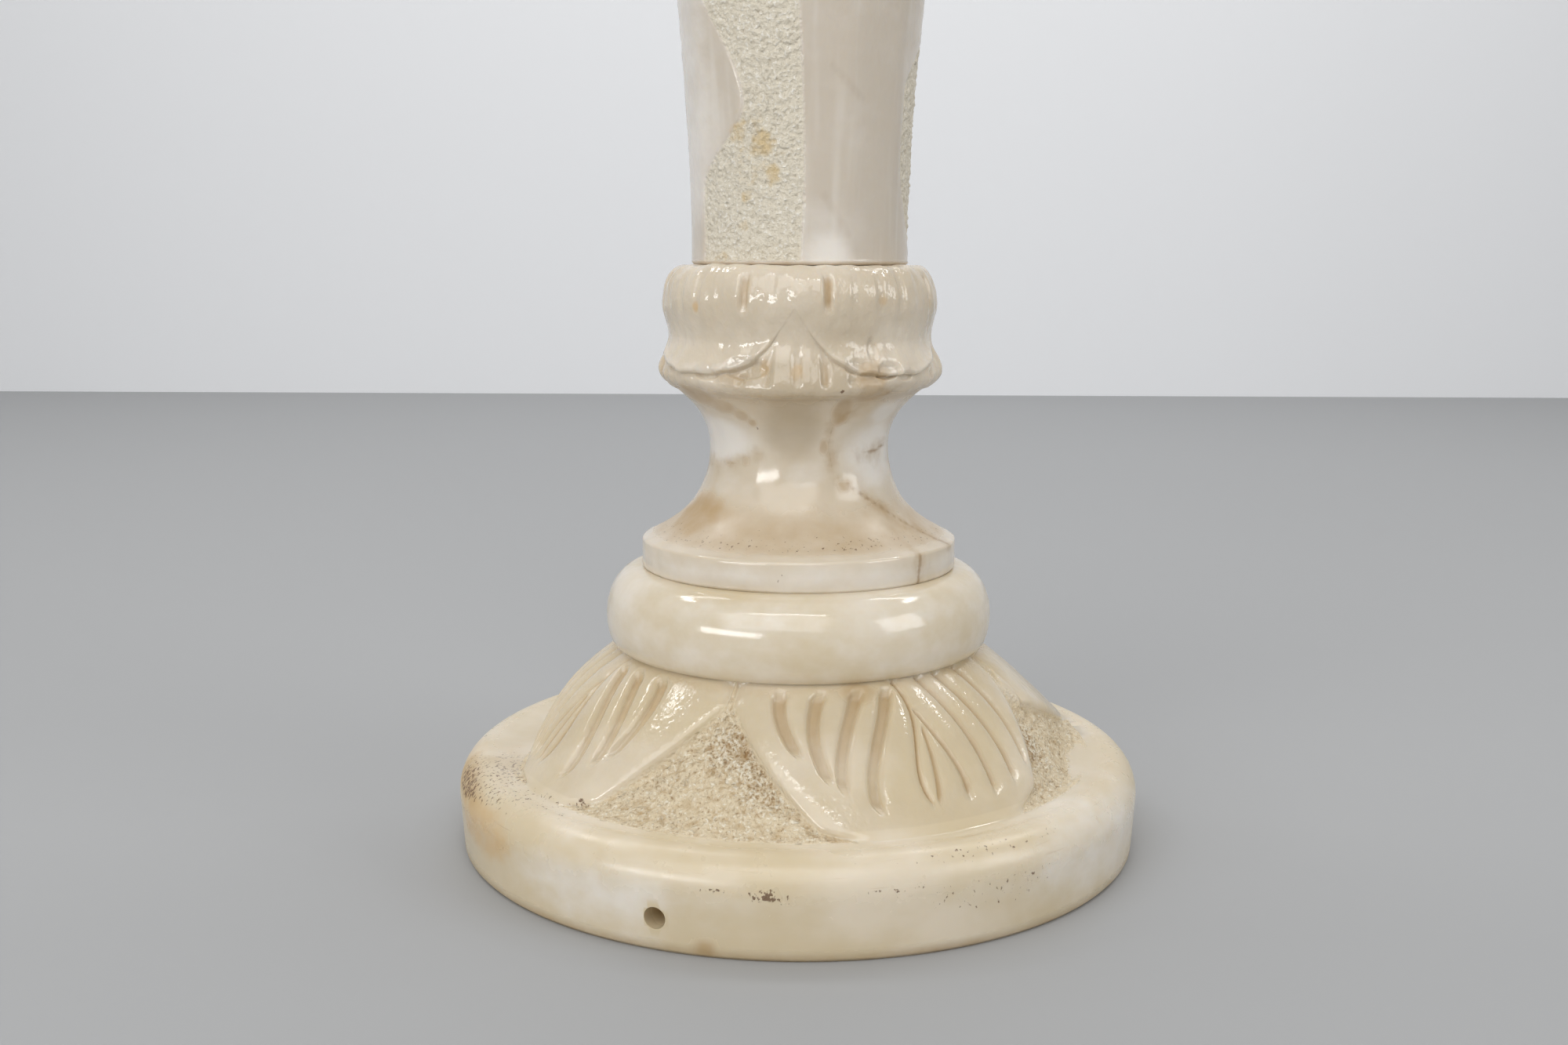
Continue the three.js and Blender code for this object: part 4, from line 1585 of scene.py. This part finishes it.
    def flute(self, angle: Values, radius: Values, shift: float) -> tuple[Values, Values]:
        """Hollow of the nearest flute: 1 in its middle, 0 at its sides, by a smoothstep.

        Args:
            angle: Angles of the points.
            radius: Radii of the points.
            shift: Angle of the first flute.

        Returns:
            The hollow, and how deep that flute is cut.
        """
        pitch = 360.0 / self.flutes
        number = np.round((angle - shift) / pitch)
        away = np.abs(angle - shift - number * pitch) * np.radians(1.0) * radius
        cuts = np.array(self.flute_cuts)[number.astype(int) % len(self.flute_cuts)]
        return 1.0 - smoothstep(away, self.flute_flat * self.flute_half, self.flute_half), cuts

    def rows(self, angle: Values) -> tuple[Values, Values, Values]:
        """Rows from the shaft outwards: collar along its leaves' edge, hollow waist, flat ring.

        Args:
            angle: Angles of the columns.

        Returns:
            Distance, turned radius, and a mask of the collar, as rows and columns.
        """
        edge = self.leaf_edge(angle)
        spread = np.linspace(self.first_row, 1.0, self.upper_rows)[:, None] ** self.row_power
        upper = spread * (edge - self.leaf_wall / 2)
        wall = edge + np.linspace(-0.5, 0.5, self.wall_rows)[1:-1, None] * self.leaf_wall
        part = np.linspace(0.0, 1.0, self.lower_rows)[:, None]
        lower = lerp(edge + self.leaf_wall / 2, self.foot_at, part)
        distance = np.concatenate([upper, wall, lower])
        radius = self.collar_radius(distance - self.apron_shift(angle, distance))
        rise = self.waist_at - self.neck_at
        fall = self.ring_at - self.waist_at
        inward = bezier(
            (self.neck, self.neck_at),
            (lerp(self.neck, self.waist, self.neck_pull[0]), self.neck_at + self.neck_pull[1] * rise),
            (self.waist, self.waist_at - self.waist_pulls[0] * rise),
            (self.waist, self.waist_at),
            self.hollow_rows // 2,
        )
        outward = bezier(
            (self.waist, self.waist_at),
            (self.waist, self.waist_at + self.waist_pulls[1] * fall),
            (lerp(self.ring, self.waist, self.ring_pull[0]), self.ring_at - self.ring_pull[1] * fall),
            (self.ring - self.edge, self.ring_at),
            self.hollow_rows // 2,
        )[1:]
        rounded = self.edge_round * self.edge
        rim = [
            (self.ring - rounded, self.ring_at + rounded),
            (self.ring, self.ring_at + self.edge),
            (self.ring, (self.ring_at + self.length) / 2),
            (self.ring, self.length - self.edge),
            (self.ring - self.edge / 2, self.length),
            (self.ring - END_RING, self.length),
        ]
        plain = np.concatenate([inward, outward, rim])[:, :, None]
        shape = (len(plain), angle.shape[1])
        collar = np.concatenate([np.ones(distance.shape), np.zeros(shape)])
        distance = np.concatenate([distance, np.broadcast_to(plain[:, 1], shape)])
        radius = np.concatenate([radius, np.broadcast_to(plain[:, 0], shape)])
        return distance, radius, collar

    def build(self) -> bpy.types.Object:
        """Carves the collar: broad leaves over lower ones, with flutes above and below the edge.

        Returns:
            The piece.
        """
        angle = (np.arange(self.around) * 360.0 / self.around)[None, :]
        distance, radius, collar = self.rows(angle)
        angle = np.broadcast_to(angle, distance.shape)
        past = distance - self.leaf_edge(angle)
        under = smoothstep(past, -self.leaf_wall / 2, self.leaf_wall / 2)
        stand = self.leaf_rise(angle)
        below = distance - self.apron_shift(angle, distance)
        rounding = 1.0 - smoothstep(below, self.lip_at - self.round_from, self.foot_at)
        fluted = 1.0 if self.fluted else 0.0
        high, high_cut = self.flute(angle, radius, 0.0)
        high = high * high_cut * plateau(distance, self.upper_start, self.upper_end) * fluted
        low, low_cut = self.flute(angle, radius, self.lower_shift)
        low = low * lerp(self.lower_least, 1.0, low_cut) * smoothstep(past, *self.lower_below) * fluted
        low = low * plateau(distance, self.lower_start, self.lower_end)
        bead = self.bead * stand * np.exp(-(((past + self.bead_at) / self.bead_half) ** 2))
        upper_depth = self.flute_depth * high - bead
        lower_depth = self.leaf_step * stand + self.lower_depth * low
        chipped = sum(chip.cut(angle, distance) for chip in self.chips) * fluted
        depth = (lerp(upper_depth, lower_depth, under) * rounding + chipped) * collar
        height = self.bed + distance if self.upwards else self.bed - distance
        order = slice(None) if self.upwards else slice(None, None, -1)
        skin = Turning(angle[order], radius[order], height[order])
        places = skin.points()
        facets = sum(facet.depth(places) for facet in self.facets)
        facets = facets + self.upright_facets.depth(places * np.array([1.0, 1.0, self.upright]))
        skin.cut(depth[order] + facets * np.where(collar[order] > 0, 1.0, self.plain_facets))
        # Painted shade, with dirt, in the crease below the leaves' edge
        crease = under * (1.0 - smoothstep(past, *self.crease_widths)) * rounding * stand
        upper_dirt = self.upper_dirt * high * high_cut**self.dirt_power * (1.0 - under)
        dirt_and_shade = np.maximum(upper_dirt, self.lower_dirt * low * under)
        skin.lay(Layer.DIRT_AND_SHADE, (np.maximum(dirt_and_shade, self.crease_dirt_and_shade * crease) * collar)[order])
        skin.lay(Layer.CARVED, lerp(self.plain_ripples, 1.0, collar[order]))
        # Painted glow along the leaves' thin edge
        thin = np.exp(-(((past + self.thin_at) / self.thin_half) ** 2)) * stand * collar
        skin.lay(Layer.MILK_AND_GLOW, self.painted_edge_glow * thin[order])
        skin.lay(Layer.SPECKS, self.specks)
        if self.fluted:
            self.weather(skin)
        return skin.piece(self.name)

    def weather(self, skin: Turning) -> None:
        """Lays the film, milky clouds, brown clouds, a painted shade with dirt all round under the collar,
        and veins on the neck.

        Args:
            skin: Its surface.
        """
        film = self.film * plateau(skin.height, self.film_start, self.film_end)
        skin.lay(Layer.DIRT_AND_SHADE, film)
        low_film = film * (1.0 - smoothstep(skin.height, *self.film_specks_end))
        skin.lay(Layer.SPECKS, self.specks + low_film)
        skin.paint(self.spots, self.veins)

    def dress(self, piece: bpy.types.Object) -> None:
        """Gives the neck or the capital its clouded stone.

        Args:
            piece: The neck or the capital.
        """
        coats = (CLOUDS, CLEAR_STONE, MILKY_AND_GLOW, VEIN_SHADE, VEIN_LINE, OCHRE_CLOUD, DIRTY_AND_SHADED, GRIME, SPECKLED)
        name = "clouded_alabaster" if self.fluted else "pale_clouded_alabaster"
        piece.data.materials.append(Alabaster(name, "d3c5ae", coats).material())


@dataclass
class Shaft:
    """Swelling shaft with raised polished bands and sunk punched ground between them."""

    bottom_at: float = 252.0
    top_at: float = 850.0
    bottom: float = 46.8
    belly: float = 57.0
    belly_at: float = 460.0
    top: float = 46.0
    straight: float = 5.0
    edge: float = 1.2
    bands: int = 3
    band_angle: float = -118.0
    band_width: float = 73.0
    band_depth: float = 1.1
    band_wall: float = 3.0
    scallop: float = 15.0
    crest_at: float = 316.0
    climb: float = 40.0
    pitch: float = 120.0
    rise: float = 34.0
    fall: float = 60.0
    # The straight edge wavers a little: angle and height of its wave
    waver: float = 1.6
    waver_pitch: float = 160.0
    # Stipple of the ground: size, height, the depth that counts as its level, and the share of the
    # band's wall from which it starts
    stipple_cell: float = 2.8
    stipple_height: float = 1.3
    stipple_level: float = 0.3
    stipple_from: float = 0.5
    stipple_seed: int = 21
    grit_height: float = 1.2
    wander: Wander = Wander(0.12, 30.0, 23)
    # Flats left by the rasp on the bands: first edge, width, and how flat they are
    flat_from: float = 25.0
    flat_width: float = 28.0
    flatness: float = 0.4
    ripples: float = 0.4
    specks: float = 0.01
    spots: tuple[Spot, ...] = (
        *patches(
            Layer.STAIN,
            (-19.0, 300.0, 11.0, 9.0, 0.85),
            (-14.0, 288.0, 7.0, 7.0, 0.8),
            (-28.0, 279.0, 5.0, 5.0, 0.75),
            (-30.0, 268.0, 5.0, 4.0, 0.6),
            (-32.0, 305.0, 10.0, 7.0, 0.6),
            (-22.0, 298.0, 26.0, 30.0, 0.4, 0.1),
            (-44.0, 254.0, 10.0, 5.0, 0.5),
            (100.0, 420.0, 12.0, 20.0, 0.7),
            (215.0, 520.0, 12.0, 24.0, 0.7),
        ),
        *patches(
            Layer.MILK_AND_GLOW,
            (14.0, 253.0, 22.0, 20.0, 0.95, 0.1),
            (-66.0, 320.0, 30.0, 90.0, 0.6),
            (150.0, 600.0, 30.0, 90.0, 0.5),
        ),
        *patches(
            Layer.DIRT_AND_SHADE,
            (0.0, 252.0, ALL_ROUND, 3.0, 0.45),
        ),
    )
    veins: tuple[Vein, ...] = (
        Vein(((12.0, 280.0), (25.0, 264.0))),
        Vein(((15.0, 330.0), (30.0, 318.0))),
        Vein(((20.0, 470.0), (45.0, 430.0), (60.0, 380.0))),
        Vein(((-90.0, 640.0), (-70.0, 560.0), (-64.0, 500.0))),
        Vein(((140.0, 380.0), (160.0, 460.0), (170.0, 520.0))),
    )
    face_columns: int = 20
    wall_columns: int = 5
    ground_columns: int = 58
    # The rows are closer up to this height, where the photograph shows the shaft
    near_rows: int = 170
    near_top: float = 372.0
    far_rows: int = 190

    def radius(self, height: Values) -> Values:
        """Half a cosine wave from the bottom to the belly, and another from there to the top.

        Args:
            height: Heights of the rows.

        Returns:
            The radii.
        """
        start = self.bottom_at + self.straight
        lower = np.clip((height - start) / (self.belly_at - start), 0.0, 1.0)
        upper = np.clip((height - self.belly_at) / (self.top_at - self.belly_at), 0.0, 1.0)
        swell = lerp(self.bottom, self.belly, (1.0 - np.cos(np.pi * lower)) / 2)
        return swell + (self.top - self.belly) * (1.0 - np.cos(np.pi * upper)) / 2

    def straight_edge(self, band: int, height: Values) -> Values:
        """Angle of a band's straight edge, which wavers as a sine."""
        wave = np.sin(2.0 * np.pi * (height - self.bottom_at) / self.waver_pitch)
        return self.band_angle + 360.0 * band / self.bands + self.waver * wave

    def scalloped_edge(self, band: int, height: Values) -> Values:
        """Angle of a band's scalloped edge: each scallop swells quickly and dies away slowly upwards.

        Args:
            band: Number of the band.
            height: Heights of the rows.

        Returns:
            The angles.
        """
        crest = self.crest_at + self.climb * band
        past = (height - crest + self.rise) % self.pitch - self.rise
        swell = np.where(
            past < 0.0, smoothstep(past, -self.rise, 0.0), 1.0 - smoothstep(past, 0.0, self.fall)
        )
        start = self.band_angle + 360.0 * band / self.bands
        return start + self.band_width + self.scallop * (2.0 * swell - 1.0)

    def build(self) -> bpy.types.Object:
        """Lays columns along the bands' edges, sinks the ground and punches it.

        Returns:
            The piece.
        """
        near = np.linspace(self.bottom_at + self.edge, self.near_top, self.near_rows, endpoint=False)
        far = np.linspace(self.near_top, self.top_at - self.edge, self.far_rows)
        ends = self.bottom_at, self.top_at
        height = np.concatenate([ends[:1] * 2, near, far, ends[1:] * 2])[:, None]
        inset = np.zeros(height.shape)
        inset[[0, -1]] = END_RING + self.edge
        inset[[1, -2]] = self.edge
        radius = self.radius(height) - inset
        wall = self.band_wall / (np.radians(1.0) * radius)
        angles, sunk = [], []
        walls = np.arange(self.wall_columns) / self.wall_columns
        face = np.arange(self.face_columns) / self.face_columns
        ground = np.arange(self.ground_columns) / self.ground_columns
        for band in range(self.bands):
            start = self.straight_edge(band, height)
            stop = self.scalloped_edge(band, height)
            after = self.straight_edge(band + 1, height)
            angles += [
                lerp(start - wall, start, walls),
                lerp(start, stop, face),
                lerp(stop, stop + wall, walls),
                lerp(stop + wall, after - wall, ground),
            ]
            sunk += [1.0 - walls, 0.0 * face, walls, 1.0 + 0.0 * ground]
        angle = np.concatenate(angles, axis=1)
        share = np.broadcast_to(smoothstep(np.concatenate(sunk), 0.0, 1.0), angle.shape)
        skin = Turning(angle, radius, height)
        places = skin.points()
        half = self.flat_width / 2.0
        beside = np.radians((angle - self.flat_from) % self.flat_width - half)
        flats = radius * (1.0 - np.cos(np.radians(half)) / np.cos(beside)) * (1.0 - share)
        relief, _ = punched(places, self.stipple_cell, self.stipple_seed)
        stipple = self.stipple_height * (relief - self.stipple_level)
        stipple = stipple * smoothstep(share, self.stipple_from, 1.0)
        depth = share * (self.band_depth + stipple) + self.flatness * flats + self.wander.depth(places)
        body = (height > self.bottom_at + self.edge) & (height < self.top_at - self.edge)
        skin.cut(depth * body)
        skin.lay(Layer.GROUND, share * body)
        skin.lay(Layer.CARVED, self.ripples)
        skin.lay(Layer.SPECKS, self.specks)
        skin.paint(self.spots, self.veins)
        return skin.piece("banded_shaft")

    def dress(self, piece: bpy.types.Object) -> None:
        """Gives the shaft its cooler, paler stone.

        Args:
            piece: The shaft.
        """
        coats = (
            COOL_CLOUDS,
            STREAKS,
            MILKY_AND_GLOW,
            FAINT_VEIN,
            WHITE_GROUND,
            WHITE_PAINTED_HIGHLIGHTS,
            PAINTED_SHADE_PITS,
            OCHRE,
            DIRTY_AND_SHADED,
            SPECKLED,
        )
        stone = Alabaster("rosy_grey_alabaster", "d0c5b5", coats, grit_height=self.grit_height)
        piece.data.materials.append(stone.material())


@dataclass
class TopPlate:
    """Round slab with rounded edges that the load stands on."""

    radius: float = 130.0
    bottom_at: float = 968.0
    top_at: float = 1000.0
    edge: float = 9.0
    wander: Wander = Wander(0.15, 30.0, 31)
    # The flat faces stay level, and so does this height beside them
    level: float = 0.5
    specks: float = 0.03
    spots: tuple[Spot, ...] = (
        *patches(
            Layer.MILK_AND_GLOW,
            (30.0, 984.0, 40.0, 30.0, 0.5),
            (190.0, 984.0, 50.0, 30.0, 0.5),
        ),
        *patches(
            Layer.STAIN,
            (-70.0, 984.0, 20.0, 20.0, 0.35),
        ),
    )
    around: int = 300
    arc_rows: int = 14
    # Rows on the flat faces, as shares of their radius
    rings: tuple[float, ...] = (0.4, 0.7, 0.99)

    def build(self) -> bpy.types.Object:
        """Turns the outline: flat underside, round edge, straight side, round edge, flat top.

        Returns:
            The piece.
        """
        flat = self.radius - self.edge
        round_edge = (self.edge, self.edge)
        outline = np.concatenate(
            [
                [(flat * part, self.bottom_at) for part in self.rings],
                quarter((flat, self.bottom_at + self.edge), round_edge, -90, 0, self.arc_rows),
                quarter((flat, self.top_at - self.edge), round_edge, 0, 90, self.arc_rows),
                [(flat * part, self.top_at) for part in self.rings[::-1]],
            ]
        )
        angle = np.arange(self.around) * 360.0 / self.around
        skin = Turning(angle, outline[:, :1], outline[:, 1:])
        side = (skin.height > self.bottom_at + self.level) & (skin.height < self.top_at - self.level)
        skin.cut((self.wander.height + self.wander.depth(skin.points())) * side)
        skin.lay(Layer.SPECKS, self.specks)
        skin.paint(self.spots)
        return skin.piece("round_top_plate")

    def dress(self, piece: bpy.types.Object) -> None:
        """Gives the plate a plain cream stone.

        Args:
            piece: The top plate.
        """
        coats = (CLOUDS, MILKY_AND_GLOW, OCHRE, DIRTY_AND_SHADED, SPECKLED)
        piece.data.materials.append(Alabaster("cream_alabaster", "ddd0b6", coats).material())


@dataclass(frozen=True)
class Lamp:
    """Soft rectangular studio lamp that faces a point."""

    name: str
    place: tuple[float, float, float]
    target: tuple[float, float, float]
    width: float
    height: float
    power: float

    def build(self) -> None:
        """Makes the lamp, unseen by the camera."""
        data = bpy.data.lights.new(self.name, "AREA")
        data.shape = "RECTANGLE"
        data.size = self.width
        data.size_y = self.height
        data.energy = self.power
        lamp = bpy.data.objects.new(self.name, data)
        lamp.location = self.place
        heading = Vector(self.target) - Vector(self.place)
        lamp.rotation_euler = heading.to_track_quat("-Z", "Y").to_euler()
        lamp.visible_camera = False
        bpy.context.scene.collection.objects.link(lamp)


@dataclass
class Studio:
    """Plain pale floor and wall, soft light, and the camera."""

    floor_half: float = 4.0
    wall_at: float = 2.41
    wall_height: float = 3.0
    floor_colour: str = "a8a9aa"
    wall_colour: str = "f6f7f9"
    matt: float = 0.7
    sky: str = "ffffff"
    sky_strength: float = 0.42
    camera_place: tuple[float, float, float] = (0.0, -0.6886, 0.2518)
    lens: float = 36.0
    sensor: float = 36.0
    tilt: float = 9.31
    yaw: float = 0.54
    roll: float = 0.2
    lamps: tuple[Lamp, ...] = (
        Lamp("front_softbox", (-0.42, -1.58, 1.57), (0.0, 0.0, 0.1), 2.4, 1.3, 14.3),
        Lamp("ceiling_strip", (-0.15, -1.0, 1.9), (0.0, 0.0, 0.1), 1.3, 0.08, 3.0),
        Lamp("ceiling_left", (-1.3, 0.6, 1.9), (0.0, 0.0, 0.05), 0.5, 0.16, 2.6),
        Lamp("ceiling_middle", (0.0, 0.2, 2.0), (0.0, 0.0, 0.05), 0.5, 0.16, 2.6),
        Lamp("ceiling_right", (1.3, 0.6, 1.9), (0.0, 0.0, 0.05), 0.5, 0.16, 2.6),
        Lamp("left_window", (-1.45, -1.75, 0.7), (0.0, 0.0, 0.15), 1.5, 0.35, 13.0),
        Lamp("right_fill", (2.2, -1.0, 1.2), (0.0, 0.0, 0.3), 1.2, 1.2, 13.0),
        Lamp("wall_wash", (0.0, 1.2, 2.6), (0.0, 2.41, 0.5), 3.4, 0.5, 23.0),
    )

    def sheet(self, name: str, corners: list[tuple[float, float, float]], colour: str) -> None:
        """Makes a plain matt sheet of the stage.

        Args:
            name: Name of the sheet.
            corners: Its four corners in metres.
            colour: Its sRGB hex colour.
        """
        sheet = add_mesh(name, corners, [(0, 1, 2, 3)])
        paint = bpy.data.materials.new(name)
        paint.use_nodes = True
        shader = paint.node_tree.nodes["Principled BSDF"]
        shader.inputs["Base Color"].default_value = to_linear(colour)
        shader.inputs["Roughness"].default_value = self.matt
        sheet.data.materials.append(paint)

    def build(self) -> None:
        """Makes floor, wall, lamps, sky light and camera."""
        wide, back = self.floor_half, self.wall_at
        self.sheet(
            "pale_floor",
            [(-wide, -wide, 0.0), (wide, -wide, 0.0), (wide, back, 0.0), (-wide, back, 0.0)],
            self.floor_colour,
        )
        high = self.wall_height
        self.sheet(
            "pale_wall",
            [(-wide, back, 0.0), (wide, back, 0.0), (wide, back, high), (-wide, back, high)],
            self.wall_colour,
        )
        for lamp in self.lamps:
            lamp.build()
        scene = bpy.context.scene
        scene.view_settings.view_transform = "Standard"
        world = scene.world or bpy.data.worlds.new("studio")
        scene.world = world
        world.use_nodes = True
        sky = world.node_tree.nodes["Background"]
        sky.inputs["Color"].default_value = to_linear(self.sky)
        sky.inputs["Strength"].default_value = self.sky_strength
        data = bpy.data.cameras.new("camera")
        data.lens = self.lens
        data.sensor_width = self.sensor
        camera = bpy.data.objects.new("camera", data)
        camera.matrix_world = (
            Matrix.Translation(self.camera_place)
            @ Matrix.Rotation(math.radians(self.yaw), 4, "Z")
            @ Matrix.Rotation(math.radians(90.0 - self.tilt), 4, "X")
            @ Matrix.Rotation(math.radians(self.roll), 4, "Z")
        )
        scene.collection.objects.link(camera)
        scene.camera = camera


def main() -> None:
    """Builds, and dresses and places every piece."""
    logging.basicConfig(level=logging.INFO, format="%(name)s: %(message)s")
    Studio().build()
    capital = Spool(
        name="plain_leaf_capital",
        bed=850.0,
        length=118.0,
        upwards=True,
        fluted=False,
        waist=40.0,
        waist_at=76.0,
        ring=65.0,
        ring_at=106.0,
        around=360,
    )
    makers = {
        "foot": (Foot(), "alabaster_foot"),
        "neck": (Spool(), "alabaster_neck"),
        "shaft": (Shaft(), "alabaster_shaft"),
        "capital": (capital, "alabaster_capital"),
        "top_plate": (TopPlate(), "alabaster_plate"),
    }
    for node, (maker, slot) in makers.items():
        piece = maker.build()
        maker.dress(piece)
        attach(piece, "root")
        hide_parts(node)
        triangles = sum(len(face.vertices) - 2 for face in piece.data.polygons)
        LOG.info("%s stands for %s: %d triangles", piece.name, node, triangles)


if __name__ == "__main__":
    main()
